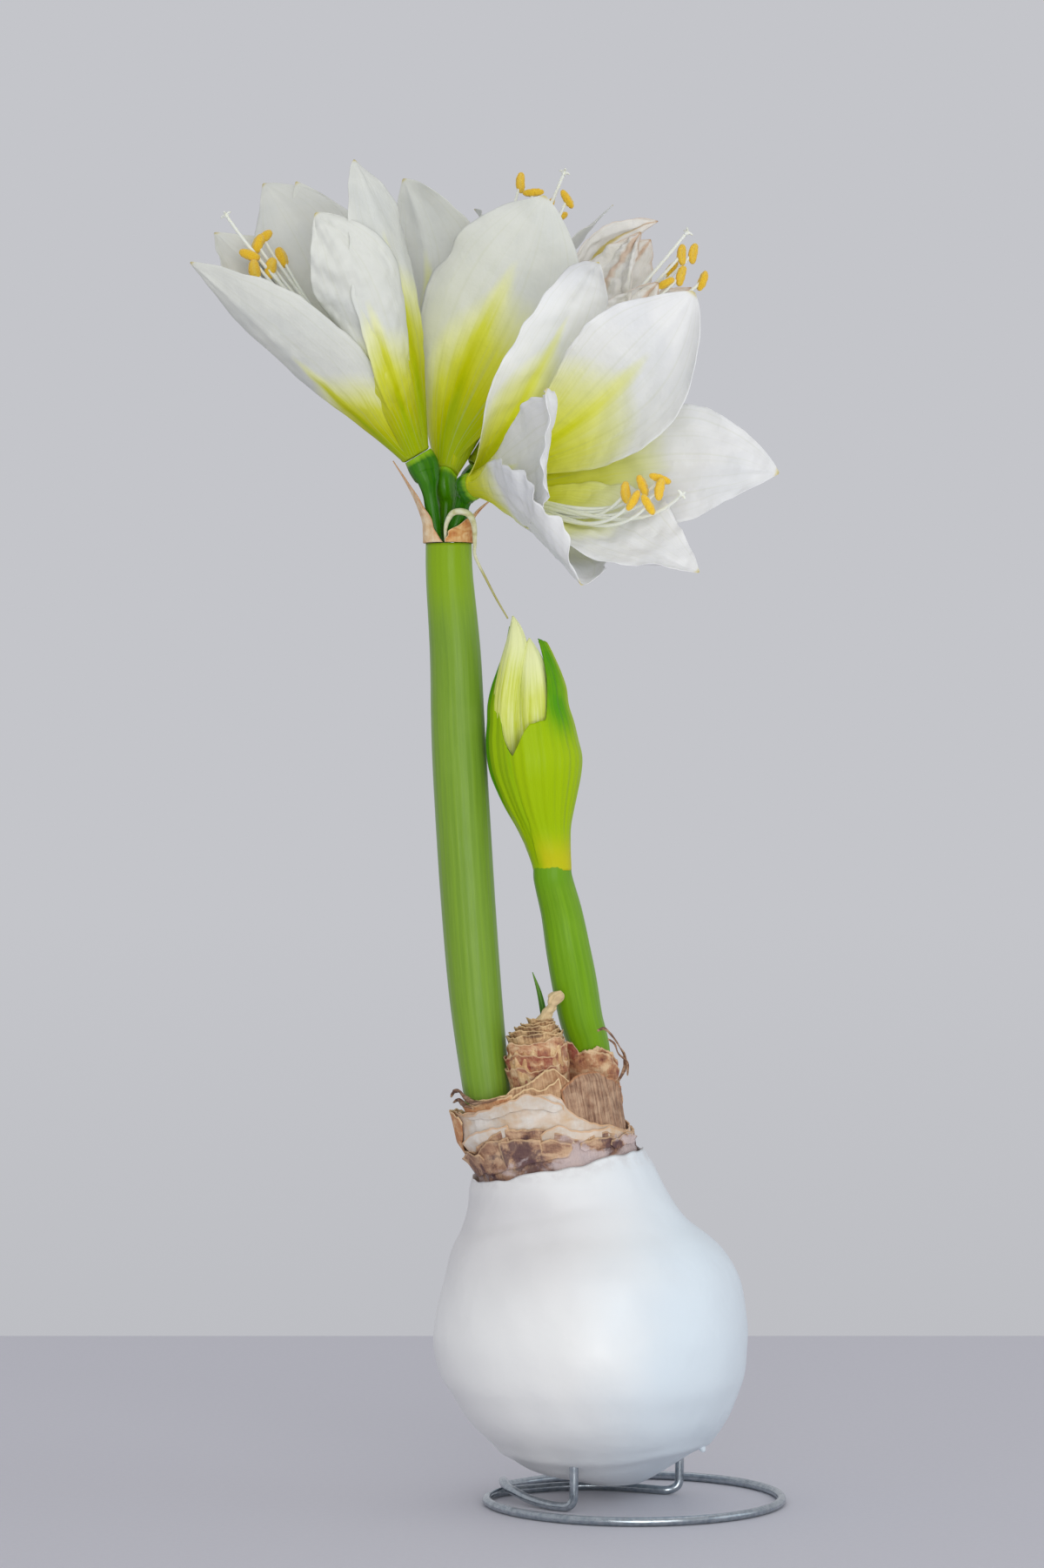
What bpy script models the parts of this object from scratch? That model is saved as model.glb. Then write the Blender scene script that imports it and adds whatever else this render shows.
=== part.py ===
"""White amaryllis growing from a waxed bulb that stands on a bent wire ring.

All sizes are in millimetres round the centre of the wire ring (x right, y to the back, z up).
MM turns them into metres, and the whole part is moved at the end so that the middle of the
bottom of its bounding box is the origin.
"""

from dataclasses import dataclass

import bmesh
import bpy
import numpy as np
from mathutils import Matrix, Vector

MM = 0.001
GAP = 0.3  # between touching pieces

# Wire stand
WIRE_R = 1.5
RING_R = 49.5
WIRE_Z = 1.36  # height of the middle of the wire, a little under its radius: the flat under it
PRONG_TOP = 33.0
PRONGS = ((-20.2, -21.4), (16.0, 17.0))
CROSSING_Z = 5.2  # where the front leg passes over the back one

# Bulb outline: left x, left z, right x, right z of each level, from the bottom to the wax rim
BULB_LEVELS = (
    (-17.5, 4.8, 3.5, 5.2),
    (-29.4, 7.6, 8.6, 8.0),
    (-38.0, 11.7, 14.5, 12.1),
    (-47.4, 19.8, 25.2, 20.4),
    (-54.8, 27.4, 30.6, 28.2),
    (-60.7, 36.3, 34.6, 37.0),
    (-65.1, 43.6, 37.1, 44.4),
    (-67.0, 53.8, 37.9, 54.8),
    (-65.8, 62.8, 37.0, 64.0),
    (-63.1, 73.5, 34.4, 75.4),
    (-60.5, 81.0, 30.4, 83.2),
    (-58.2, 86.0, 25.6, 88.4),
    (-56.0, 91.6, 17.8, 94.6),
    (-55.0, 98.6, 11.4, 103.6),
    (-54.8, 108.1, 4.0, 118.9),
)
BULB_BACK = (15.0, 13.5, 10.0, 4.5, 1.2)  # how far behind the middle the lowest levels lie
BULB_BOTTOM = (-7.0, 15.0, 4.2)  # the lowest point
WAX = 2.0
AROUND = 28  # sides of the bulb and its coat

# Neck, in its own frame: origin in the middle of the wax rim, leaning to the left
NECK_ORIGIN = (-25.4, 0.0, 113.5)
NECK_LEAN = 10.4  # degrees
CORE_R = 23.2
LAYER_R = 24.7  # outside of the innermost scales
LAYER_STEP = 1.25
SCALE = 0.8  # thickness of dry scales
CORE_TOP = 9.0

# Height of the top edge of each scale by angle: 270 faces the front, 180 the left
CRUST_TOP = (
    (0, 6.5), (40, 9), (90, 10), (140, 9), (180, 8.6), (205, 10.4), (220, 13), (232, 15.4),
    (243, 15.6), (258, 14.2), (275, 12), (290, 8.6), (308, 8.8), (325, 6.8), (345, 5.2), (360, 6.5),
)
PALE_TOP = (
    (0, 8), (30, 12), (90, 18), (150, 21), (180, 23.8), (201, 22.4), (221, 22.8), (239, 23.9),
    (253, 25), (262, 25.6), (274, 24.8), (285, 18.6), (302, 13.2), (313, 11.4), (345, 7.2), (360, 8),
)
# Name, first and last angle, lowest height and top edge of the scales inside them
INNER_SCALES = (
    ("fibre_scale", (-77, 36), -1.6, ((-77, 26), (-64, 28.7), (-52, 29.2), (-38, 28.6), (0, 21), (36, 17))),
    (
        "middle_scale", (204, 281), 1.0,
        ((204, 26.6), (221, 26.2), (240, 27), (258, 29.4), (275, 32.5), (281, 32.3)),
    ),
    ("back_scale", (48, 144), -1.6, ((48, 17), (80, 26), (120, 24), (144, 20))),
)
# Top edge of the flap round the foot of the short stem, by angle round the stem
FLAP_EDGE = ((190, 141.5), (205, 147), (226, 154), (246, 150.6), (262, 151.6), (290, 151), (316, 149.5))

# Flowering stems: points down the middle and the radius at each
TALL_STEM = (
    (-41.5, -1.8, 99.0, 4.6),
    (-43.0, -2.2, 120.0, 4.6),
    (-45.4, -2.6, 127.0, 6.0),
    (-48.0, -3.0, 133.0, 7.5),
    (-49.2, -3.0, 138.7, 7.8),
    (-52.7, -2.5, 168.0, 8.6),
    (-55.1, -2.0, 197.0, 8.9),
    (-57.0, -1.5, 226.0, 9.0),
    (-58.6, -1.0, 255.0, 8.9),
    (-59.7, -0.5, 284.0, 8.4),
    (-61.6, 0.0, 309.0, 7.8),
    (-61.9, 0.0, 320.7, 7.6),
)
SHORT_STEM = (
    (-13.4, 6.0, 101.0, 4.6),
    (-13.0, 6.0, 127.0, 4.6),
    (-13.0, 6.0, 131.0, 5.4),
    (-13.4, 6.0, 138.0, 6.6),
    (-14.8, 5.5, 151.5, 7.0),
    (-17.6, 3.5, 161.8, 7.4),
    (-19.8, 1.5, 173.6, 7.7),
    (-22.0, -1.0, 185.3, 7.5),
    (-24.1, -3.0, 197.0, 7.0),
    (-26.5, -6.0, 206.5, 6.6),
    (-27.2, -7.0, 210.0, 6.5),
    (-27.2, -7.0, 211.25, 6.4),
)

# Sheath of the bud: height, middle x, radius of each level
SHEATH_LEVELS = (
    (211.6, -27.2, 6.4),
    (220.3, -28.8, 7.7),
    (226.1, -30.2, 9.1),
    (231.9, -31.4, 11.2),
    (237.7, -32.2, 13.2),
    (243.5, -32.8, 14.9),
    (249.3, -33.2, 15.7),
    (255.1, -34.0, 15.2),
    (260.9, -34.5, 14.3),
    (266.7, -35.3, 13.3),
    (272.5, -35.1, 12.3),
    (278.3, -35.1, 10.3),
    (284.1, -35.4, 8.0),
    (288.4, -36.1, 6.1),
    (294.4, -38.6, 2.6),
)
SHEATH_Y = -7.0
# Height of the open edge of the sheath by angle: 270 faces the front, 180 the left
SHEATH_EDGE = (
    (0.0, 287.6),
    (60.0, 268.0),
    (100.0, 250.0),
    (140.0, 268.0),
    (180.0, 293.0),
    (205.0, 289.0),
    (211.0, 280.0),
    (219.0, 267.0),
    (231.0, 255.0),
    (242.0, 249.5),
    (270.0, 260.4),
    (290.0, 261.4),
    (298.0, 265.0),
    (303.0, 276.0),
    (306.0, 285.0),
    (312.0, 287.5),
    (360.0, 287.6),
)

TUBE_R = 3.6  # radius at which the tepals leave the base of a flower
BLADE = 0.7  # thickness of tepals
BLADE_STEPS = (6, 4)  # cells along and across a tepal


@dataclass(frozen=True)
class Tepal:
    """One petal-like blade. Angles in degrees; tip in stand coordinates."""

    azimuth: float
    tip: tuple
    width: float
    lean: float
    curl: float
    cup: float
    cup_tip: float
    twist: float
    side: float
    skew: float
    widest: float
    point: float
    roll: tuple
    tail: float
    slim: float


@dataclass(frozen=True)
class Bloom:
    """A flower: the bottom of its tube, its axis, its tepals and where its stamens end."""

    name: str
    base: tuple
    axis: tuple
    foot: tuple  # where the stalk leaves the top of the stem
    egg: tuple  # lower end of the swelling under the tube
    tepals: tuple
    anthers: tuple  # x, y, z and heading of each
    stigma: tuple
    sag: tuple  # how far the stamens bow away from the straight line
    swelling: float = 4.3  # greatest radius under the flower


BLOOMS = (
    Bloom(
        name="left",
        base=(-72.7, -4.0, 350.1),
        axis=(-0.50, -0.05, 0.86),
        foot=(-66.2, -1.8, 321.3),
        egg=(-68.8, -5.2, 341.4),
        tepals=(
            Tepal(
                -63, (-146.5, -27.0, 411.9), 40.1, 21, 13, 42, 35, 13,
                -17, 0.11, 0.43, 2.1, (-0.9, 1.2), 0.36, 1.0,
            ),
            Tepal(
                -117, (-141.4, 15.2, 426.8), 38.9, 20, 30, -5, 37, 14,
                4, 0.14, 0.66, 2.1, (-1.5, 0.7), 0.32, 1.0,
            ),
            Tepal(
                179, (-126.0, 32.5, 445.6), 41.0, 16, 40, 77, -13, 5,
                24, 0.16, 0.56, 2.0, (1.9, -1.4), 0.29, 1.0,
            ),
            Tepal(
                109, (-114.4, 27.0, 445.7), 34.0, 17, 3, 0, 6, 27,
                7, 0.19, 0.60, 1.7, (3.0, 0.2), 0.27, 1.0,
            ),
            Tepal(
                5, (-104.9, -31.4, 426.7), 30.6, 36, -17, 95, 1, -30,
                -7, -0.04, 0.66, 1.9, (5.3, -5.8), 0.32, 1.0,
            ),
            Tepal(
                53, (-92.6, -25.2, 445.9), 50.1, 28, -5, 41, 19, -9,
                25, 0.11, 0.42, 2.3, (4.1, 2.1), 0.29, 1.0,
            ),
        ),
        anthers=(
            (-125.9, 2.0, 421.1, 70),
            (-128.2, -4.0, 416.9, 160),
            (-126.5, -6.0, 411.5, 100),
            (-121.3, -3.0, 412.6, 80),
            (-118.0, 6.0, 417.2, 110),
            (-124.4, 8.0, 424.0, 40),
        ),
        stigma=(-136.0, 0.0, 430.2),
        sag=(-4.0, -6.0, 1.0),
        swelling=5.2,
    ),
    Bloom(
        name="back",
        base=(-63.0, 4.0, 344.8),
        axis=(0.19, 0.47, 0.86),
        foot=(-63.4, 4.4, 321.3),
        egg=(-62.6, 3.4, 335.4),
        tepals=(
            Tepal(
                96, (-29.8, -16.9, 435.2), 57.2, 22, 51, 25, 13, -1,
                -2, 0.08, 0.53, 2.0, (-2.4, -1.7), 0.28, 1.0,
            ),
            Tepal(
                47, (-77.9, 25.5, 446.4), 51.8, 17, 42, 41, 0, 7,
                -15, 0.05, 0.56, 1.7, (2.1, 3.4), 0.27, 1.0,
            ),
            Tepal(
                -20, (-54.0, 62.0, 440.7), 42.0, 20, 45, 35, 10, 0,
                0, 0.0, 0.55, 1.9, (0.0, 0.0), 0.30, 1.0,
            ),
            Tepal(
                -68, (-45.1, 98.0, 438.6), 44.0, 20, 45, 35, 10, 0,
                0, 0.0, 0.55, 1.9, (0.0, 0.0), 0.30, 1.0,
            ),
            Tepal(
                -112, (-24.9, 96.0, 439.5), 40.0, 20, 45, 35, 10, 0,
                0, 0.0, 0.55, 1.9, (0.0, 0.0), 0.30, 1.0,
            ),
            Tepal(
                200, (-5.3, 68.0, 443.0), 34.0, 16, 30, 35, 10, 14,
                0, 0.0, 0.55, 1.9, (0.0, 0.0), 0.30, 1.3,
            ),
        ),
        anthers=(
            (-37.9, 46.0, 447.7, 90),
            (-33.4, 38.0, 443.3, 5),
            (-21.7, 42.0, 441.5, 120),
            (-28.2, 56.0, 440.5, 60),
            (-37.3, 58.0, 438.7, 100),
            (-24.6, 58.0, 437.0, 30),
        ),
        stigma=(-22.9, 48.0, 451.0),
        sag=(0.0, 2.0, 1.0),
    ),
    Bloom(
        name="wilted",
        base=(-51.4, 14.0, 346.4),
        axis=(0.64, 0.12, 0.76),
        foot=(-58.0, 1.6, 321.3),
        egg=(-56.5, 11.8, 339.2),
        tepals=(
            Tepal(
                90, (9.3, 28.2, 432.2), 26.2, 8, -29, 32, -12, -37,
                -31, -0.01, 0.48, 1.5, (1.6, -0.1), 0.28, 2.2,
            ),
            Tepal(
                150, (2.8, 8.0, 426.2), 34.0, 11, 10, 50, -30, 10,
                0, 0.0, 0.55, 1.9, (-4.0, 5.0), 0.30, 1.6,
            ),
            Tepal(
                -150, (8.6, 6.0, 409.0), 32.0, 11, 0, 60, -20, 0,
                0, 0.0, 0.55, 1.9, (5.0, 0.0), 0.30, 1.6,
            ),
            Tepal(
                -88, (19.6, 26.0, 398.8), 34.0, 11, 20, 35, 10, 0,
                0, 0.0, 0.55, 1.9, (0.0, 0.0), 0.30, 1.6,
            ),
            Tepal(
                -28, (21.5, 52.0, 412.3), 34.0, 11, 25, 35, 10, 0,
                0, 0.0, 0.55, 1.9, (0.0, 0.0), 0.30, 1.6,
            ),
            Tepal(
                34, (7.4, 54.0, 429.2), 34.0, 10, 25, 35, 10, 0,
                0, 0.0, 0.55, 1.9, (0.0, 0.0), 0.30, 1.6,
            ),
        ),
        anthers=(
            (21.5, 42.0, 422.8, 80),
            (17.4, 37.0, 421.8, 90),
            (16.9, 31.0, 413.9, 75),
            (11.5, 29.0, 411.0, 30),
            (24.7, 38.0, 413.0, 70),
            (13.9, 42.0, 417.4, 50),
        ),
        stigma=(18.9, 36.0, 428.9),
        sag=(4.0, 0.0, 3.0),
    ),
    Bloom(
        name="right",
        base=(-52.4, -13.6, 339.6),
        axis=(0.57, -0.80, 0.17),
        foot=(-60.2, -3.6, 321.3),
        egg=(-56.2, -6.8, 336.4),
        tepals=(
            Tepal(
                95, (-12.7, -60.0, 408.0), 39.0, 19, 5, 20, -7, -13,
                21, -0.03, 0.42, 1.5, (-4.6, 6.8), 0.25, 1.0,
            ),
            Tepal(
                30, (17.6, -70.5, 397.6), 49.1, 30, 59, 42, 23, -39,
                -1, -0.05, 0.66, 2.1, (-6.6, 4.5), 0.34, 1.0,
            ),
            Tepal(
                -24, (44.3, -80.0, 338.7), 46.6, 28, 40, 7, 14, 8,
                -4, 0.04, 0.56, 2.0, (2.3, 2.7), 0.31, 1.0,
            ),
            Tepal(
                -66, (18.5, -92.0, 306.7), 39.1, 22, 37, 32, 20, 19,
                13, 0.04, 0.54, 2.0, (0.2, -1.1), 0.33, 1.0,
            ),
            Tepal(
                -130, (-18.7, -90.9, 302.9), 47.2, 21, 39, 31, 49, -20,
                -6, -0.13, 0.51, 2.2, (-1.9, -7.3), 0.25, 1.0,
            ),
            Tepal(
                185, (-30.0, -104.2, 363.6), 42.7, 5, 59, 6, 14, -13,
                -31, 0.06, 0.54, 2.1, (8.4, 0.3), 0.32, 1.0,
            ),
        ),
        anthers=(
            (-4.2, -66.0, 333.5, 95),
            (1.3, -68.0, 335.6, 110),
            (6.8, -70.0, 337.7, 160),
            (6.4, -74.0, 334.1, 80),
            (-2.0, -78.0, 330.3, 60),
            (2.7, -80.0, 328.8, 120),
        ),
        stigma=(12.8, -82.0, 331.4),
        sag=(2.0, 0.0, -7.0),
        swelling=4.7,
    ),
)

FILAMENT_R = 0.55
STYLE_R = 0.65
ANTHER = (1.15, 1.15, 3.3)  # half lengths


def unit(v):
    v = np.asarray(v, float)
    return v / np.maximum(np.linalg.norm(v, axis=-1, keepdims=True), 1e-9)


def smooth(a, b, x):
    t = np.clip((x - a) / (b - a), 0.0, 1.0)
    return t * t * (3.0 - 2.0 * t)


def frame_of(axis):
    """The axis and two directions across it."""
    a = unit(axis)
    up = (0.0, 0.0, 1.0) if abs(a[2]) < 0.95 else (0.0, 1.0, 0.0)
    e1 = unit(np.cross(up, a))
    return a, e1, np.cross(a, e1)


def clear_scene():
    for obj in list(bpy.data.objects):
        bpy.data.objects.remove(obj, do_unlink=True)


def collection(name, hidden=False):
    made = bpy.data.collections.new(name)
    made.hide_render = hidden
    bpy.context.scene.collection.children.link(made)
    return made


def material(name, colour, roughness, transmission=0.0, metallic=0.0):
    made = bpy.data.materials.new(name)
    made.use_nodes = True
    shader = made.node_tree.nodes["Principled BSDF"]
    shader.inputs["Base Color"].default_value = (*colour, 1.0)
    shader.inputs["Roughness"].default_value = roughness
    shader.inputs["Metallic"].default_value = metallic
    shader.inputs["Transmission Weight"].default_value = transmission
    made.diffuse_color = (*colour, 1.0)
    return made


def mesh_object(name, points, faces, group, paint=None):
    """An object from points in millimetres, with its faces turned outwards."""
    points = np.asarray(points, float)
    triangles = [(f[0], f[i], f[i + 1]) for f in faces for i in range(1, len(f) - 1)]
    corners = points[np.array(triangles)]
    if np.linalg.det(corners - points.mean(axis=0)).sum() < 0:
        faces = [tuple(reversed(f)) for f in faces]
    mesh = bpy.data.meshes.new(name)
    mesh.from_pydata((points * MM).tolist(), [], [tuple(int(i) for i in f) for f in faces])
    mesh.validate()
    obj = bpy.data.objects.new(name, mesh)
    group.objects.link(obj)
    if paint:
        mesh.materials.append(paint)
    mesh.shade_smooth()
    return obj


def loft(rings, start=None, end=None, joined=False):
    """Points and faces through closed rings, ended by a point or by joining the last to the first."""
    count, around = len(rings), len(rings[0])
    points = np.concatenate([np.asarray(r, float) for r in rings])
    faces = []
    for i in range(count if joined else count - 1):
        a, b = i * around, ((i + 1) % count) * around
        for j in range(around):
            k = (j + 1) % around
            faces.append((a + j, a + k, b + k, b + j))
    extra = []
    for at, ring, turned in ((start, 0, True), (end, count - 1, False)):
        if at is None:
            continue
        tip = len(points) + len(extra)
        extra.append(at)
        for j in range(around):
            k = (j + 1) % around
            a, b = ring * around + j, ring * around + k
            faces.append((b, a, tip) if turned else (a, b, tip))
    if extra:
        points = np.concatenate([points, np.array(extra, float)])
    return points, faces


def blade(front, back):
    """Points and faces of a thin closed plate between two grids, split alike on both faces."""
    rows, cols = front.shape[:2]
    size = rows * cols
    points = np.concatenate([front.reshape(-1, 3), back.reshape(-1, 3)])
    faces = []
    for i in range(rows - 1):
        for j in range(cols - 1):
            a, b = i * cols + j, i * cols + j + 1
            c, d = (i + 1) * cols + j + 1, (i + 1) * cols + j
            if (i + j) % 2:
                halves = ((a, b, c), (a, c, d))
            else:
                halves = ((a, b, d), (b, c, d))
            for half in halves:
                faces.append(half)
                faces.append(tuple(n + size for n in reversed(half)))
    edge = [(i, 0) for i in range(rows)] + [(rows - 1, j) for j in range(1, cols)]
    edge += [(i, cols - 1) for i in range(rows - 2, -1, -1)] + [(0, j) for j in range(cols - 2, 0, -1)]
    loop = [i * cols + j for i, j in edge]
    for a, b in zip(loop, loop[1:] + loop[:1]):
        faces.append((a, b, b + size))
        faces.append((a, b + size, a + size))
    return points, faces


def thicken(grid, thickness):
    """Two grids half the thickness to each side of a surface."""
    along = np.gradient(grid, axis=0)
    across = np.gradient(grid, axis=1)
    normal = unit(np.cross(across, along))
    return grid + normal * thickness / 2, grid - normal * thickness / 2


def rod(name, points, radii, group, paint=None, resolution=3, cap=True):
    """A round rod along points, made by a curve with a bevel and turned into a mesh."""
    curve = bpy.data.curves.new(name, "CURVE")
    curve.dimensions = "3D"
    curve.bevel_depth = MM
    curve.bevel_resolution = resolution
    curve.use_fill_caps = cap
    spline = curve.splines.new("POLY")
    spline.points.add(len(points) - 1)
    for point, at, radius in zip(spline.points, points, radii):
        point.co = (*(Vector(at) * MM), 1.0)
        point.radius = radius
    helper = bpy.data.objects.new(name + "_curve", curve)
    group.objects.link(helper)
    graph = bpy.context.evaluated_depsgraph_get()
    mesh = bpy.data.meshes.new_from_object(helper.evaluated_get(graph))
    bpy.data.objects.remove(helper, do_unlink=True)
    bpy.data.curves.remove(curve)
    weld(mesh)
    mesh.name = name
    obj = bpy.data.objects.new(name, mesh)
    group.objects.link(obj)
    mesh.materials.clear()
    if paint:
        mesh.materials.append(paint)
    mesh.shade_smooth()
    return obj


def fill_pockets(mesh):
    """Takes out the closed pockets that a union left inside a body, so that it is solid there."""
    work = bmesh.new()
    work.from_mesh(mesh)
    bmesh.ops.triangulate(work, faces=work.faces)
    seen = set()
    pockets = []
    for face in work.faces:
        if face in seen:
            continue
        island, waiting = [], [face]
        seen.add(face)
        while waiting:
            here = waiting.pop()
            island.append(here)
            for edge in here.edges:
                for other in edge.link_faces:
                    if other not in seen:
                        seen.add(other)
                        waiting.append(other)
        volume = sum(f.verts[0].co.cross(f.verts[1].co).dot(f.verts[2].co) for f in island)
        if volume < 0:
            pockets += island
    bmesh.ops.delete(work, geom=pockets, context="FACES")
    work.to_mesh(mesh)
    work.free()


def weld(mesh):
    work = bmesh.new()
    work.from_mesh(mesh)
    bmesh.ops.remove_doubles(work, verts=work.verts, dist=1e-6)
    bmesh.ops.recalc_face_normals(work, faces=work.faces)
    work.to_mesh(mesh)
    work.free()


def ball(name, centre, half, direction, group, around=8, levels=5):
    """An egg-shaped solid with its long side along a direction."""
    a, e1, e2 = frame_of(np.asarray(direction, float) + (1e-4, 0, 0))
    angles = np.arange(around) * 2 * np.pi / around
    rings = []
    for t in np.linspace(0, np.pi, levels + 2)[1:-1]:
        across = np.cos(angles)[:, None] * e1 * half[0] + np.sin(angles)[:, None] * e2 * half[1]
        rings.append(np.asarray(centre) - a * half[2] * np.cos(t) + across * np.sin(t))
    ends = np.asarray(centre) - a * half[2], np.asarray(centre) + a * half[2]
    return mesh_object(name, *loft(rings, *ends), group)


def fused(name, pieces, group, paint, solver="MANIFOLD"):
    """One body out of overlapping pieces, by one union on a collection."""
    first, rest = pieces[0], pieces[1:]
    helpers = collection(name + "_pieces", hidden=True)
    for piece in rest:
        for user in list(piece.users_collection):
            user.objects.unlink(piece)
        helpers.objects.link(piece)
    union = first.modifiers.new("join", "BOOLEAN")
    union.operation = "UNION"
    union.solver = solver
    union.operand_type = "COLLECTION"
    union.collection = helpers
    graph = bpy.context.evaluated_depsgraph_get()
    mesh = bpy.data.meshes.new_from_object(first.evaluated_get(graph))
    for piece in pieces:
        bpy.data.objects.remove(piece, do_unlink=True)
    bpy.data.collections.remove(helpers)
    fill_pockets(mesh)
    mesh.name = name
    obj = bpy.data.objects.new(name, mesh)
    group.objects.link(obj)
    mesh.materials.clear()
    mesh.materials.append(paint)
    mesh.shade_smooth()
    return obj


def cut(obj, cutters, group):
    """Takes cutters out of an object, for good."""
    for cutter in cutters:
        cutter.hide_render = True
        cutter.display_type = "WIRE"
    holder = collection(obj.name + "_cutters", hidden=True)
    for cutter in cutters:
        for user in list(cutter.users_collection):
            user.objects.unlink(cutter)
        holder.objects.link(cutter)
    take = obj.modifiers.new("holes", "BOOLEAN")
    take.operation = "DIFFERENCE"
    take.solver = "MANIFOLD"
    take.operand_type = "COLLECTION"
    take.collection = holder
    graph = bpy.context.evaluated_depsgraph_get()
    mesh = bpy.data.meshes.new_from_object(obj.evaluated_get(graph))
    obj.modifiers.remove(take)
    obj.data = mesh
    mesh.shade_smooth()
    for cutter in cutters:
        bpy.data.objects.remove(cutter, do_unlink=True)
    bpy.data.collections.remove(holder)
    return obj


def tepal_points(u, v, base, axis, t):
    """Middle surface of a tepal: u runs from the tube to the tip, v from one margin to the other."""
    a, e1, e2 = frame_of(axis)
    turn = np.radians(t.azimuth)
    out0 = np.cos(turn) * e1 + np.sin(turn) * e2
    base, tip = np.asarray(base, float), np.asarray(t.tip, float)
    p0 = base + out0 * TUBE_R
    span = tip - p0
    length = np.linalg.norm(span)
    radial = unit(span - a * (span @ a))
    tangent = np.cross(a, radial)
    lean, curl = np.radians(t.lean), np.radians(t.curl)
    start = np.cos(lean) * a + np.sin(lean) * out0
    finish = unit(np.cos(curl) * a + np.sin(curl) * radial + np.sin(np.radians(t.side)) * tangent)
    p1, p2 = p0 + start * length * 0.36, tip - finish * length * t.tail
    s = u[..., None]
    middle = (1 - s) ** 3 * p0 + 3 * (1 - s) ** 2 * s * p1 + 3 * (1 - s) * s**2 * p2 + s**3 * tip
    along = unit((1 - s) ** 2 * (p1 - p0) + 2 * (1 - s) * s * (p2 - p1) + s**2 * (tip - p2))
    out = unit((1 - s) * out0 + s * (radial * np.cos(curl * 0.6) - a * np.sin(curl * 0.6)))
    normal = unit(out - along * np.sum(out * along, -1, keepdims=True))
    side = np.cross(along, normal)
    twist = np.radians(t.twist) * s
    turned = normal * np.cos(twist) + side * np.sin(twist)
    side = side * np.cos(twist) - normal * np.sin(twist)
    start_w = TUBE_R * np.pi / 3 * 1.02
    rise = smooth(0.0, t.widest, u) ** t.slim
    fall = np.clip((u - t.widest) / (1 - t.widest), 0, 1)
    w = (start_w + (t.width / 2 - start_w) * rise) * np.clip(1 - fall**t.point, 0, 1) ** 0.95
    w = w * (1 + t.skew * v * smooth(0.0, 0.3, u))
    blend = smooth(0.0, 0.35, u)
    cup = 60 * (1 - blend) + t.cup * blend * (1 - smooth(0.5, 1, u)) + t.cup_tip * smooth(0.5, 1, u)
    beta = np.radians(np.where(np.abs(cup) < 0.5, 0.5, cup))
    across, inward = w * np.sin(beta * v) / beta, w * (1 - np.cos(beta * v)) / beta
    roll = np.where(v < 0, t.roll[0], t.roll[1]) * smooth(0.12, 0.5, u) * (1 - smooth(0.85, 1, u))
    roll = roll * np.clip(np.abs(v) - 0.3, 0, 1) ** 1.6
    across = across * (1 - 0.45 * np.clip(np.abs(roll) / np.maximum(w, 1e-6), 0, 0.6))
    return middle + side * across[..., None] + turned * (roll - inward)[..., None]


def ring_wall(name, base, axis, inner, outer, low, high, group, around=12):
    """A short tube wall round an axis."""
    a, e1, e2 = frame_of(axis)
    angles = np.arange(around) * 2 * np.pi / around
    spokes = np.cos(angles)[:, None] * e1 + np.sin(angles)[:, None] * e2
    base = np.asarray(base, float)
    corners = ((outer, low), (outer, high), (inner, high), (inner, low))
    rings = [base + a * h + spokes * r for r, h in corners]
    return mesh_object(name, *loft(rings, joined=True), group)


def pillar(name, base, axis, radius, low, high, group, around=12):
    """A plain round pillar along an axis."""
    a, e1, e2 = frame_of(axis)
    angles = np.arange(around) * 2 * np.pi / around
    spokes = np.cos(angles)[:, None] * e1 + np.sin(angles)[:, None] * e2
    base = np.asarray(base, float)
    rings = [base + a * h + spokes * radius for h in (low, high)]
    return mesh_object(name, *loft(rings, base + a * low, base + a * high), group)


def bezier(p0, p1, p2, p3, count):
    s = np.linspace(0, 1, count)[:, None]
    return (1 - s) ** 3 * p0 + 3 * (1 - s) ** 2 * s * p1 + 3 * (1 - s) * s**2 * p2 + s**3 * p3


def cubic(levels, at):
    """Smooth values between rows of a table, by Catmull-Rom."""
    levels = np.asarray(levels, float)
    last = len(levels) - 1
    at = np.clip(at, 0, last)
    i = np.minimum(at.astype(int), last - 1)
    f = (at - i)[..., None]
    p0, p1 = levels[np.maximum(i - 1, 0)], levels[i]
    p2, p3 = levels[i + 1], levels[np.minimum(i + 2, last)]
    squares = (2 * p0 - 5 * p1 + 4 * p2 - p3) * f**2
    cubes = (3 * p1 - p0 - 3 * p2 + p3) * f**3
    return 0.5 * (2 * p1 + (p2 - p0) * f + squares + cubes)


def bulb_back(level):
    """How far behind the middle a level of the bulb lies."""
    shifts = np.zeros((len(BULB_LEVELS), 1))
    shifts[: len(BULB_BACK), 0] = BULB_BACK
    return cubic(shifts, np.asarray([level]))[0, 0]


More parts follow.
